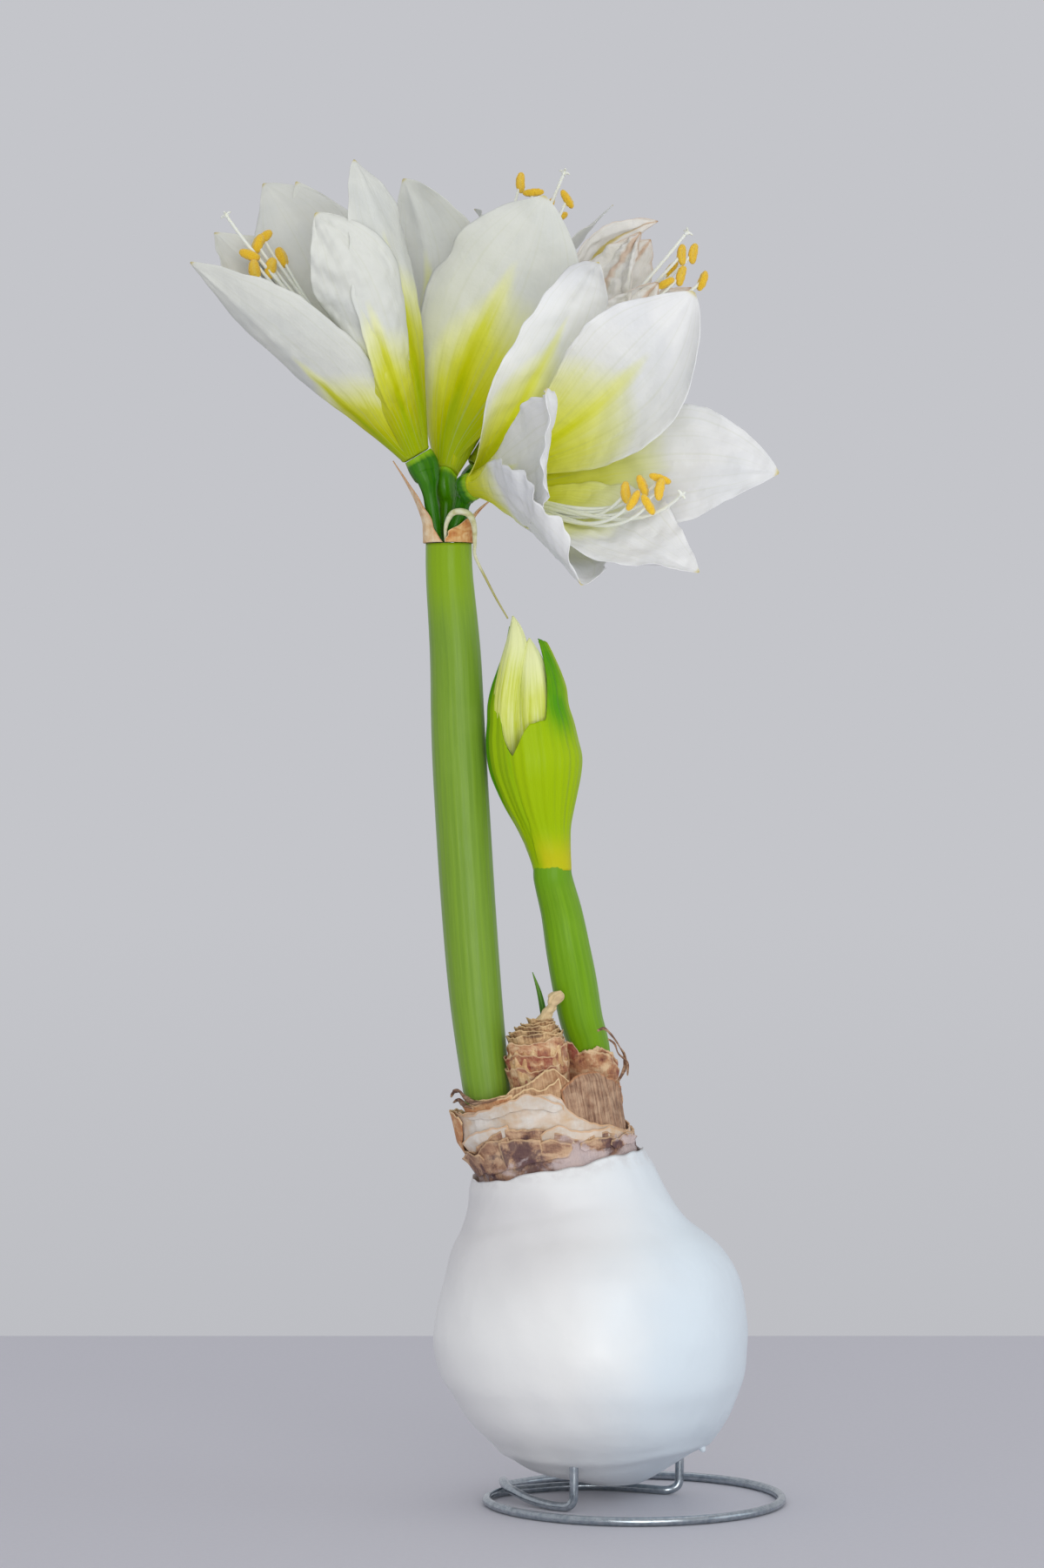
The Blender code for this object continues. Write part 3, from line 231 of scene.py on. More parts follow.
def resample(path: Array, count: int) -> Array:
    """The same path through evenly spread points, by Catmull-Rom over its length.

    Args:
        path: points, with any further columns such as a radius.
        count: how many points to return.

    Returns:
        Points with the same columns.
    """
    path = np.asarray(path, float)
    fine = through(path, np.linspace(0, len(path) - 1, count * 8))
    steps = np.linalg.norm(np.diff(fine[:, :3], axis=0), axis=1)
    run = np.concatenate([[0], np.cumsum(steps)])
    at = np.linspace(0, run[-1], count)
    return join(*(np.interp(at, run, column) for column in fine.T))


def tube_rings(
    path: Array, radii: Array, around: int, ref: Array | None = None, side: Array | None = None
) -> Array:
    """Rings square to a path. Each is centre + radius·(cos θ·side + sin θ·other).

    Args:
        path: the middle of the tube, one point per ring.
        radii: a radius per ring, or rings × around for shaped cross-sections.
        around: points per ring.
        ref: a direction that the path never runs along; the least used axis if left out.
        side: the way to each ring's first point, where it is known.

    Returns:
        Points as rings × around × 3.
    """
    along = unit(np.gradient(path, axis=0))
    if ref is None:
        ref = np.eye(3)[np.argmin(np.abs(along).mean(axis=0))]
    if side is None:
        side = unit(np.cross(ref, along))
    radii = np.asarray(radii, float).reshape(len(path), -1)
    ways = spokes(circle(around)[None], side[:, None], np.cross(along, side)[:, None])
    return path[:, None] + ways * (radii + np.zeros(around))[..., None]


# Meshes


def grid_cells(rows: int, cols: int) -> tuple[Array, Array]:
    """The row and the column of the four corners of each cell of a grid, one cell to a row."""
    i, j = np.meshgrid(np.arange(rows), np.arange(cols), indexing="ij")
    return join(i, i, i + 1, i + 1).reshape(-1, 4), join(j, j + 1, j + 1, j).reshape(-1, 4)


@dataclass
class Basket:
    """Gathers closed shells and turns them into one mesh object.

    Each shell is a grid of points. Faces run between neighbours in the grid, and the corner
    values (the UV map) and point values (the layers) come from the same grid.
    """

    points: list[Array] = field(default_factory=list)
    faces: list[tuple[Array, Array, int]] = field(default_factory=list)
    layers: dict[str, list[Array]] = field(default_factory=dict)
    size: int = 0

    def _add(
        self, points: Array, faces: Sequence[tuple[Array, Array]], layers: dict[str, Array], paint: int
    ) -> Basket:
        """Adds points, faces given as (indices, uv) blocks, and one value per point and layer."""
        for name in layers:
            self.layers.setdefault(name, [np.zeros(self.size)] if self.size else [])
        for name, kept in self.layers.items():
            kept.append(layers.get(name, np.zeros(len(points))))
        self.faces += [(index + self.size, uv, paint) for index, uv in faces]
        self.points.append(points)
        self.size += len(points)
        return self

    def tube(
        self,
        rings: Array,
        start: Sequence[float] | None = None,
        end: Sequence[float] | None = None,
        paint: int = 0,
        closed: bool = False,
        **layers: Array | float,
    ) -> Basket:
        """Adds a body of closed rings, ended by a point at each end or joined end to end.

        Args:
            rings: rows × around × 3, anticlockwise seen from the way the rows go.
            start: the point before the first ring; its middle if left out.
            end: the point after the last ring; its middle if left out.
            paint: which of the object's materials.
            closed: True where the last ring joins the first.
            layers: rows × around values by layer name.

        Returns:
            The basket itself.
        """
        rows, around = rings.shape[:2]
        steps = np.linalg.norm(np.diff(rings, axis=0), axis=-1).mean(axis=1)
        run = np.concatenate([[0], np.cumsum(steps)])
        run = np.append(run, run[-1] + 1)
        girth = np.linalg.norm(rings - np.roll(rings, 1, axis=1), axis=-1).sum(axis=1).max()
        row, col = grid_cells(rows if closed else rows - 1, around)
        faces = [((row % rows) * around + col % around, join(col / around * girth, run[row]))]
        points = rings.reshape(-1, 3)
        values = {name: np.broadcast_to(v, (rows, around)) for name, v in layers.items()}
        flat = {name: v.ravel() for name, v in values.items()}
        if not closed:
            j, pole, base = np.arange(around), rows * around, (rows - 1) * around
            nxt = (j + 1) % around
            wide = join(j + 1, j, j + 0.5) / around * girth
            faces.append((join(nxt, j, pole), join(wide, run[0])))
            faces.append((join(base + j, base + nxt, pole + 1), join(wide[:, [1, 0, 2]], run[-2])))
            low = rings[0].mean(axis=0) if start is None else start
            high = rings[-1].mean(axis=0) if end is None else end
            points = np.concatenate([points, [low, high]])
            flat = {name: np.append(flat[name], [v[0].mean(), v[-1].mean()]) for name, v in values.items()}
        return self._add(points, faces, flat, paint)

    def sheet(
        self, grid: Array, wall: Array | float, uv: Array, paint: int = 0, **layers: Array | float
    ) -> Basket:
        """Adds a thin closed plate: the grid moved half its wall to each side along its normals.

        Args:
            grid: rows × columns × 3.
            wall: the plate's thickness.
            uv: rows × columns × 2.
            paint: which of the object's materials.
            layers: rows × columns values by layer name.

        Returns:
            The basket itself.
        """
        rows, cols = grid.shape[:2]
        size = rows * cols
        normal = unit(np.cross(np.gradient(grid, axis=1), np.gradient(grid, axis=0)))
        half = normal * np.broadcast_to(np.asarray(wall) / 2, (rows, cols))[..., None]
        row, col = grid_cells(rows - 1, cols - 1)
        index = row * cols + col
        number = np.arange(size).reshape(rows, cols)
        loop = np.concatenate([number[0, :-1], number[:-1, -1], number[-1, :0:-1], number[:0:-1, 0]])
        after = np.roll(loop, -1)
        rim = join(after, loop, loop + size, after + size)
        flat = uv.reshape(-1, 2)
        faces = [(part, flat[part % size]) for part in (index, index[:, ::-1] + size, rim)]
        values = {name: np.tile(np.broadcast_to(v, (rows, cols)).ravel(), 2) for name, v in layers.items()}
        return self._add(np.concatenate([grid + half, grid - half]).reshape(-1, 3), faces, values, paint)

    def mesh(self, name: str, shift: Array) -> bpy.types.Mesh:
        """Makes the mesh, in metres.

        Args:
            name: the mesh's name.
            shift: what is added to every point, in millimetres.

        Returns:
            The finished mesh, with its UV map and layers.
        """
        mesh = bpy.data.meshes.new(name)
        points = (np.concatenate(self.points) + shift) * MM
        corners = np.concatenate([index.ravel() for index, _, _ in self.faces])
        counts = np.concatenate([np.full(len(index), index.shape[1]) for index, _, _ in self.faces])
        paints = np.concatenate([np.full(len(index), paint) for index, _, paint in self.faces])
        mesh.vertices.add(len(points))
        mesh.vertices.foreach_set("co", points.ravel())
        mesh.loops.add(len(corners))
        mesh.loops.foreach_set("vertex_index", corners.astype(np.int32))
        mesh.polygons.add(len(counts))
        mesh.polygons.foreach_set("loop_start", (np.cumsum(counts) - counts).astype(np.int32))
        mesh.polygons.foreach_set("material_index", paints.astype(np.int32))
        mesh.update(calc_edges=True)
        uvs = np.concatenate([uv.ravel() for _, uv, _ in self.faces])
        mesh.uv_layers.new(name="UVMap").uv.foreach_set("vector", uvs.astype(np.float32))
        for layer, values in self.layers.items():
            data = mesh.attributes.new(layer, "FLOAT", "POINT").data
            data.foreach_set("value", np.concatenate(values).astype(np.float32))
        mesh.shade_smooth()
        return mesh


def placed(name: str, data: bpy.types.ID) -> bpy.types.Object:
    """A new object that shows this data in the scene."""
    made = bpy.data.objects.new(name, data)
    bpy.context.scene.collection.objects.link(made)
    return made


@dataclass(frozen=True)
class Bench:
    """Where finished pieces are set down: the middle of the wire ring in the part's frame, in mm."""

    middle: Array

    @classmethod
    def at_ring(cls) -> Bench:
        """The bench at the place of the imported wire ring."""
        low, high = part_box("wire_stand")
        x = high.x / MM - RING_FROM_RIGHT
        return cls(np.array([x, low.y / MM + RING_FROM_FRONT, 0]))

    def put(
        self, name: str, basket: Basket, slot: str, nodes: Sequence[str], *finishes: object
    ) -> None:
        """Makes the piece, sets it on the part, dresses it and reports it.

        Args:
            name: the piece's name.
            basket: its shells.
            slot: the record's material slot; not used.
            nodes: the CAD nodes that it stands for.
            finishes: its finishes, in the order that the shells number them.
        """
        mesh = basket.mesh(name, self.middle)
        for finish in finishes:
            mesh.materials.append(finish.make())
        piece = placed(name, mesh)
        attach(piece, "root")
        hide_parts(*nodes)
        LOG.info("%s: %d faces, for %s", name, len(mesh.polygons), ", ".join(nodes))


# Finishes


def tint(colour: Colour) -> tuple[float, float, float, float]:
    """A colour given as it looks on screen, 0 to 255, turned into the linear values of a shader."""
    c = np.array(colour) / 255
    linear = np.where(c <= 0.04045, c / 12.92, ((c + 0.055) / 1.055) ** 2.4)
    return (*(float(x) for x in linear), 1)


class Coat:
    """A short way to build the nodes of one material round its main shader."""

    def __init__(self, name: str) -> None:
        """Starts a material with its main shader and nothing else.

        Args:
            name: the material's name.
        """
        self.material = bpy.data.materials.new(name)
        self.material.use_nodes = True
        self.tree = self.material.node_tree
        self.shader = self.tree.nodes["Principled BSDF"]
        self.output = self.tree.nodes["Material Output"]

    def add(self, kind: str, inputs: dict | None = None, **settings: object) -> bpy.types.Node:
        """Adds a node.

        Args:
            kind: Blender's name of the node type, without ShaderNode.
            inputs: sockets by name or number; a socket is linked and a value is set.
            settings: properties of the node.

        Returns:
            The node.
        """
        made = self.tree.nodes.new("ShaderNode" + kind)
        for name, value in settings.items():
            setattr(made, name, value)
        for key, value in (inputs or {}).items():
            self.feed(made.inputs[key], value)
        return made

    def feed(self, socket: Socket, value: object) -> None:
        """Links a socket to another one, or sets its value."""
        if isinstance(value, Socket):
            self.tree.links.new(value, socket)
        elif isinstance(value, tuple) and len(value) == 3 and socket.type == "RGBA":
            socket.default_value = tint(value)
        else:
            socket.default_value = value

    def place(self, scale: Place = (1.0, 1.0, 1.0)) -> Socket:
        """The object's own coordinates in millimetres, stretched by the scale."""
        at = self.add("TexCoord").outputs["Object"]
        scales = tuple(s / MM for s in scale)
        return self.add("Mapping", {"Vector": at, "Scale": scales}).outputs["Vector"]

    def map(self, scale: Place = (1.0, 1.0, 1.0)) -> Socket:
        """The piece's UV map, stretched by the scale."""
        at = self.add("TexCoord").outputs["UV"]
        return self.add("Mapping", {"Vector": at, "Scale": scale}).outputs["Vector"]

    def layer(self, name: str) -> Socket:
        """The value of a layer of the mesh."""
        return self.add("Attribute", attribute_name=name).outputs["Fac"]

    def noise(
        self, at: Socket, scale: float, detail: float = 3.0, rough: float = 0.55, bend: float = 0.0
    ) -> Socket:
        """Cloudy noise, 0 to 1."""
        inputs = {"Vector": at, "Scale": scale, "Detail": detail, "Roughness": rough, "Distortion": bend}
        return self.add("TexNoise", inputs).outputs["Fac"]

    def cells(self, at: Socket, scale: float, feature: str = "F1") -> Socket:
        """Distance to the nearest of many scattered points, for grains and pits."""
        return self.add("TexVoronoi", {"Vector": at, "Scale": scale}, feature=feature).outputs["Distance"]

    def span(
        self, value: Socket, low: float, high: float, out_low: float = 0.0, out_high: float = 1.0
    ) -> Socket:
        """Spreads a range of values over another one, with a soft step between."""
        inputs = {"Value": value, "From Min": low, "From Max": high, "To Min": out_low, "To Max": out_high}
        return self.add("MapRange", inputs, interpolation_type="SMOOTHSTEP").outputs["Result"]

    def times(self, first: object, second: object, operation: str = "MULTIPLY") -> Socket:
        """The product of two values, or another step of arithmetic on them."""
        return self.add("Math", {0: first, 1: second}, operation=operation).outputs[0]

    def plus(self, first: object, second: object) -> Socket:
        """The sum of two values."""
        return self.times(first, second, "ADD")

    def minus(self, first: object, second: object) -> Socket:
        """The first value less the second."""
        return self.times(first, second, "SUBTRACT")

    def sway(self, cloud: Socket, reach: float) -> Socket:
        """A cloudy value moved to lie round 0 and stretched by the reach."""
        return self.times(self.minus(cloud, 0.5), reach)

    def ramp(self, value: Socket, stops: Sequence[tuple[float, Colour]]) -> Socket:
        """Colours by value, straight between the stops."""
        made = self.add("ValToRGB", {"Fac": value})
        bar = made.color_ramp.elements
        while len(bar) < len(stops):
            bar.new(1)
        for mark, (at, colour) in zip(bar, stops):
            mark.position = at
            mark.color = tint(colour)
        return made.outputs["Color"]

    def mix(self, share: object, first: object, second: object, blend: str = "MIX") -> Socket:
        """Mixes two colours by a share."""
        made = self.add("Mix", data_type="RGBA", blend_type=blend)
        for key, value in ((0, share), (6, first), (7, second)):
            self.feed(made.inputs[key], value)
        return made.outputs[2]

    def bump(self, height: Socket, depth: float, under: Socket | None = None) -> Socket:
        """A bumped normal, with the depth of the bumps in millimetres."""
        inputs = {"Height": height, "Distance": depth * MM, "Strength": 1}
        if under is not None:
            inputs["Normal"] = under
        return self.add("Bump", inputs).outputs["Normal"]

    def finish(self, **inputs: object) -> Material:
        """Feeds the main shader and returns the material. Words joined by _ name its sockets."""
        for name, value in inputs.items():
            self.feed(self.shader.inputs[name.replace("_", " ")], value)
        return self.material


@dataclass(frozen=True)
class WireFinish:
    """Bright galvanised wire: bluish zinc with faint spangle, drawing marks and a few dull spots."""

    zinc: Colour = (158, 168, 176)
    oxide: Colour = (192, 198, 202)
    pits: Colour = (138, 144, 150)

    def make(self) -> Material:
        """The wire's material."""
        coat = Coat("galvanised_wire")
        at = coat.place()
        spangle = coat.cells(at, 0.55)
        cloud = coat.noise(at, 0.22, 4)
        scratch = coat.noise(coat.map((3, 0.12, 1)), 2, 3)
        colour = coat.mix(coat.span(spangle, 0.1, 0.75, 0, 0.6), self.zinc, self.oxide)
        colour = coat.mix(coat.span(cloud, 0.55, 0.72, 0, 0.55), colour, self.pits)
        height = coat.plus(coat.times(scratch, 0.6), coat.times(cloud, 0.5))
        return coat.finish(
            Base_Color=colour, Metallic=1, Roughness=coat.span(scratch, 0.3, 0.7, 0.16, 0.3),
            Normal=coat.bump(height, 0.02),
        )


@dataclass(frozen=True)
class WaxFinish:
    """Satin white wax, thinner at its rim, with a painted cool light on its right side and painted shade on its upper
    left.
    """

    body: Colour = (244, 244, 242)
    # A cool bluish tint, painted as light on the right side.
    painted_cool_light_and_shade: Colour = (228, 239, 246)
    # Thin wax at the rim; the same colour paints the shade on the upper left.
    thin: Colour = (219, 217, 217)

    def make(self) -> Material:
        """The wax's material. Its layers are rim at the upper edge, side, which paints a cool light on the right, and
        a third layer that paints shade on the upper left.
        """
        coat = Coat("white_wax")
        at = coat.place()
        broad, fine = coat.noise(at, 0.03, 3), coat.noise(at, 0.8, 4)
        rim = coat.layer("rim")
        patch = coat.noise(at, 0.2, 4, 0.6)
        drift = coat.sway(broad, 0.6)
        # Painted light: the right side is tinted cool by the side layer.
        colour = coat.mix(coat.span(coat.plus(coat.layer("side"), drift), 0, 1), self.body, self.painted_cool_light_and_shade)
        # Painted shade: the upper left is mixed towards the thin colour.
        colour = coat.mix(coat.times(coat.layer("grey"), 0.75), colour, self.thin)
        worn = coat.times(coat.span(rim, 0.75, 1), coat.span(patch, 0.4, 0.6))
        colour = coat.mix(coat.times(worn, 0.6), colour, self.thin)
        normal = coat.bump(coat.noise(at, 0.1, 2), 0.4)
        normal = coat.bump(fine, 0.025, normal)
        return coat.finish(
            Base_Color=colour, Roughness=coat.span(fine, 0.35, 0.65, 0.36, 0.44), Normal=normal,
            Subsurface_Weight=0.08, Subsurface_Radius=(0.004, 0.004, 0.004), Coat_Weight=0.18,
            Coat_Roughness=0.26,
        )


@dataclass(frozen=True)
class ScaleFinish:
    """A dry papery scale: mottled patches, fine upright fibres, and a thin border."""

    name: str
    body: Colour
    dark: Colour
    pale: Colour
    border: Colour
    hem: float = 0.8
    blotch: float = 0.5
    fibre: float = 0.6
    smear: float = 0.0
    spot_size: float = 0.16
    spots: Colour = (70, 42, 36)
    relief: float = 0.35

    def make(self) -> Material:
        """The scale's material. Its layers are edge, 1 at the border, and foot, 1 at the bottom."""
        coat = Coat(self.name)
        strand = coat.noise(coat.map((1, 0.06, 1)), 1.5, 4, 0.6)
        hair = coat.noise(coat.map((1, 0.035, 1)), 5.5, 3, 0.6)
        cloud = coat.noise(coat.place((1, 1, 0.8)), self.spot_size, 5, 0.6, 0.3)
        patch = coat.noise(coat.place((0.8, 0.8, 1.3)), self.spot_size * 1.7, 5, 0.6, 0.4)
        edge, foot = coat.layer("edge"), coat.layer("foot")
        colour = coat.ramp(patch, ((0.34, self.dark), (0.47, self.body), (0.62, self.pale)))
        fibres = coat.mix(coat.span(strand, 0.38, 0.6), self.dark, self.pale)
        colour = coat.mix(self.fibre * 0.6, colour, fibres)
        colour = coat.mix(coat.times(coat.span(hair, 0.5, 0.66), self.fibre * 0.5), colour, self.pale)
        spotted = coat.times(coat.span(cloud, 0.5, 0.6), self.blotch)
        colour = coat.mix(spotted, colour, self.spots)
        rim = coat.plus(edge, coat.sway(patch, 0.7))
        line = coat.times(coat.span(rim, 0.45, 0.7), self.hem)
        colour = coat.mix(line, colour, self.border)
        rough = coat.span(hair, 0.3, 0.7, 0.55, 0.78)
        if self.smear:
            smear = coat.noise(coat.place((1, 1, 1.4)), 0.09, 5, 0.6, 0.3)
            reach = coat.plus(smear, coat.times(foot, 0.14))
            white = coat.times(coat.span(reach, 0.6, 0.74), self.smear)
            colour = coat.mix(white, colour, (214, 196, 194))
            rough = coat.minus(rough, coat.times(white, 0.3))
        height = coat.plus(coat.times(strand, 0.6), coat.times(hair, 0.3))
        normal = coat.bump(height, self.relief)
        normal = coat.bump(coat.plus(cloud, coat.times(patch, 0.6)), self.relief * 1.6, normal)
        return coat.finish(Base_Color=colour, Roughness=rough, Normal=normal, Specular_IOR_Level=0.3)


@dataclass(frozen=True)
class GreenFinish:
    """Living green skin: lengthwise veins, a paler or yellower end, and a thin waxy bloom."""

    name: str
    body: Colour
    deep: Colour
    pale: Colour
    end: Colour
    vein: float = 0.5
    rough: float = 0.38
    sheen: float = 0.1
    ribs: float = 0.08
    gloss: float = 0.25
    foot: Colour | None = None

    def make(self) -> Material:
        """The skin's material. Its layer rise is 1 where the end's colour shows, foot at its bottom."""
        coat = Coat(self.name)
        streak = coat.noise(coat.map((1, 0.03, 1)), 0.75, 4, 0.6)
        thread = coat.noise(coat.map((1, 0.02, 1)), 2.6, 3, 0.6)
        cloud = coat.noise(coat.place(), 0.06, 4)
        rise = coat.layer("rise")
        colour = coat.mix(coat.span(streak, 0.35, 0.65), self.deep, self.body)
        colour = coat.mix(coat.times(coat.span(thread, 0.5, 0.7), self.vein), colour, self.pale)
        colour = coat.mix(coat.span(cloud, 0.5, 0.75, 0, 0.25), colour, self.pale)
        at_end = coat.plus(rise, coat.sway(streak, 0.5))
        colour = coat.mix(coat.span(at_end, 0.15, 0.95), colour, self.end)
        if self.foot:
            colour = coat.mix(coat.layer("foot"), colour, self.foot)
        height = coat.plus(coat.times(thread, 0.3), streak)
        return coat.finish(
            Base_Color=colour, Roughness=coat.span(cloud, 0.3, 0.7, self.rough - 0.05, self.rough + 0.1),
            Normal=coat.bump(height, self.ribs), Specular_IOR_Level=self.gloss, Sheen_Weight=self.sheen,
            Sheen_Roughness=0.4, Sheen_Tint=(0.8, 0.9, 1, 1),
        )


@dataclass(frozen=True)
class PetalFinish:
    """Soft white petal: yellow green at its base and midrib, fine veins, and a tiny yellow tip."""

    name: str
    white: Colour = (253, 253, 252)
    # The cool tint of the painted shade on the white.
    painted_cool_light_and_shade: Colour = (236, 239, 244)
    pale: Colour = (248, 249, 196)
    lime: Colour = (236, 238, 84)
    green: Colour = (216, 219, 0)
    deep: Colour = (176, 196, 0)
    tip: Colour = (222, 204, 104)
    dry: float = 0.0
    dry_colour: Colour = (214, 190, 150)

    def make(self) -> Material:
        """The petal's material. Its layers are green, tip and dry, each 0 to 1."""
        coat = Coat(self.name)
        wander = coat.noise(coat.map((3, 1.6, 1)), 1.4, 3)
        line = coat.noise(coat.map((30, 0.55, 1)), 1, 2, 0.5)
        hair = coat.noise(coat.map((78, 1, 1)), 1, 2, 0.5)
        cloud = coat.noise(coat.place(), 0.05, 4)
        green = coat.layer("green")
        stripes = coat.sway(line, 0.42)
        waver = coat.sway(wander, 0.25)
        middle = coat.times(coat.times(green, coat.minus(1.35, green)), 2)
        reach = coat.plus(green, coat.times(coat.plus(stripes, waver), middle))
        stops = ((0, self.white), (0.2, self.pale), (0.45, self.lime), (0.72, self.green), (1, self.deep))
        colour = coat.ramp(reach, stops)
        shade = coat.times(coat.span(cloud, 0.4, 0.65), coat.minus(1, green))
        colour = coat.mix(coat.times(shade, 0.3), colour, self.painted_cool_light_and_shade, "MULTIPLY")
        faint = coat.span(line, 0.52, 0.66, 0, 0.16)
        colour = coat.mix(faint, colour, (216, 219, 190))
        if self.dry:
            vein = coat.times(coat.span(line, 0.5, 0.62), 0.12)
            patch = coat.plus(coat.layer("dry"), coat.sway(cloud, 0.5))
            patch = coat.plus(patch, vein)
            colour = coat.mix(coat.span(patch, 0.3, 1, 0, self.dry), colour, self.dry_colour)
        colour = coat.mix(coat.layer("tip"), colour, self.tip)
        height = coat.plus(coat.times(line, 0.6), coat.times(hair, 0.25))
        normal = coat.bump(height, 0.1)
        normal = coat.bump(coat.noise(coat.place(), 0.16, 3), 0.5, normal)
        rough = coat.span(hair, 0.3, 0.7, 0.42, 0.56)
        coat.finish(
            Base_Color=colour, Roughness=rough, Normal=normal, Specular_IOR_Level=0.12,
        )
        through_light = coat.add("BsdfTranslucent", {"Color": colour, "Normal": normal})
        both = coat.add("MixShader", {0: 0.2, 1: coat.shader.outputs[0], 2: through_light.outputs[0]})
        coat.feed(coat.output.inputs["Surface"], both.outputs[0])
        return coat.material


@dataclass(frozen=True)
class ThreadFinish:
    """Smooth white stamen threads, greenish towards the base."""

    white: Colour = (238, 240, 230)
    base: Colour = (206, 214, 130)

    def make(self) -> Material:
        """The threads' material. Its layer rise is 1 at the base."""
        coat = Coat("stamen_thread")
        cloud = coat.noise(coat.place(), 0.4, 3)
        streak = coat.noise(coat.map((2, 0.1, 1)), 3, 2)
        share = coat.plus(coat.layer("rise"), coat.sway(cloud, 0.2))
        return coat.finish(
            Base_Color=coat.mix(share, self.white, self.base), Roughness=coat.span(cloud, 0.3, 0.7, 0.32, 0.45),
            Normal=coat.bump(streak, 0.08), Subsurface_Weight=0.2, Subsurface_Radius=(0.001, 0.001, 0.0006),
        )


@dataclass(frozen=True)
class PollenFinish:
    """Powdery yellow pollen over the two lobes of a head."""

    light: Colour = (255, 226, 44)
    deep: Colour = (240, 184, 16)
    seam: Colour = (226, 208, 120)

    def make(self) -> Material:
        """The pollen's material. Its layer rise is 1 in the furrow between the lobes."""
        coat = Coat("pollen")
        at = coat.place()
        grain = coat.cells(at, 4.2)
        cloud = coat.noise(at, 0.9, 4, 0.7)
        colour = coat.mix(coat.span(grain, 0.1, 0.7), self.light, self.deep)
        colour = coat.mix(coat.span(cloud, 0.5, 0.7, 0, 0.6), colour, self.deep)
        colour = coat.mix(coat.times(coat.layer("rise"), 0.6), colour, self.seam)
        height = coat.plus(coat.times(grain, -0.6), cloud)
        return coat.finish(
            Base_Color=colour, Roughness=coat.span(cloud, 0.3, 0.7, 0.75, 0.95), Normal=coat.bump(height, 0.22),
            Sheen_Weight=0.3, Sheen_Roughness=0.6,
        )


@dataclass(frozen=True)
class FloorFinish:
    """A plain pale table top with a faint soft grain."""

    body: Colour = (205, 204, 211)

    def make(self) -> Material:
        """The floor's material."""
        coat = Coat("pale_table")
        cloud = coat.noise(coat.place(), 0.004, 3)
        fine = coat.noise(coat.place(), 0.5, 4)
        colour = coat.mix(coat.span(cloud, 0.3, 0.7, 0, 0.05), self.body, (197, 196, 204))
        return coat.finish(
            Base_Color=colour, Roughness=coat.span(fine, 0.3, 0.7, 0.55, 0.65), Normal=coat.bump(fine, 0.02),
        )


class Green(Enum):
    """Which green skin a piece wears."""

    def make(self) -> Material:
        """The material of this skin."""
        return self.value.make()

    TALL = GreenFinish(
        "tall_stem_green", (126, 162, 46), (117, 153, 46), (140, 171, 74), (136, 172, 16), 0.3, sheen=0.2,
    )
    SHORT = GreenFinish(
        "short_stem_green", (120, 168, 12), (108, 156, 8), (137, 180, 44), (108, 160, 6), 0.3,
    )
    STALK = GreenFinish(
        "stalk_green", (54, 120, 2), (38, 104, 2), (96, 152, 18), (140, 184, 14), 0.2, 0.24, 0.02,
    )
    VALVE = GreenFinish(
        "sheath_green", (90, 162, 0), (70, 146, 0), (164, 198, 30), (162, 192, 0), 0.25, 0.36, 0.02,
        gloss=0.12, foot=(208, 196, 24),
    )
    BUD = GreenFinish(
        "bud_pale_green", (224, 230, 128), (198, 208, 60), (240, 244, 190), (238, 242, 182), 0.6, 0.36, 0.02,
        0.2, 0.12,
    )
    OVARY = GreenFinish(
        "ovary_green", (74, 136, 0), (62, 124, 0), (108, 164, 10), (150, 196, 10), 0.15, 0.22, 0, 0.03, 0.3,
    )
    LEAF = GreenFinish(
        "leaf_tip_green", (66, 124, 26), (40, 92, 20), (104, 156, 60), (120, 160, 50),
    )


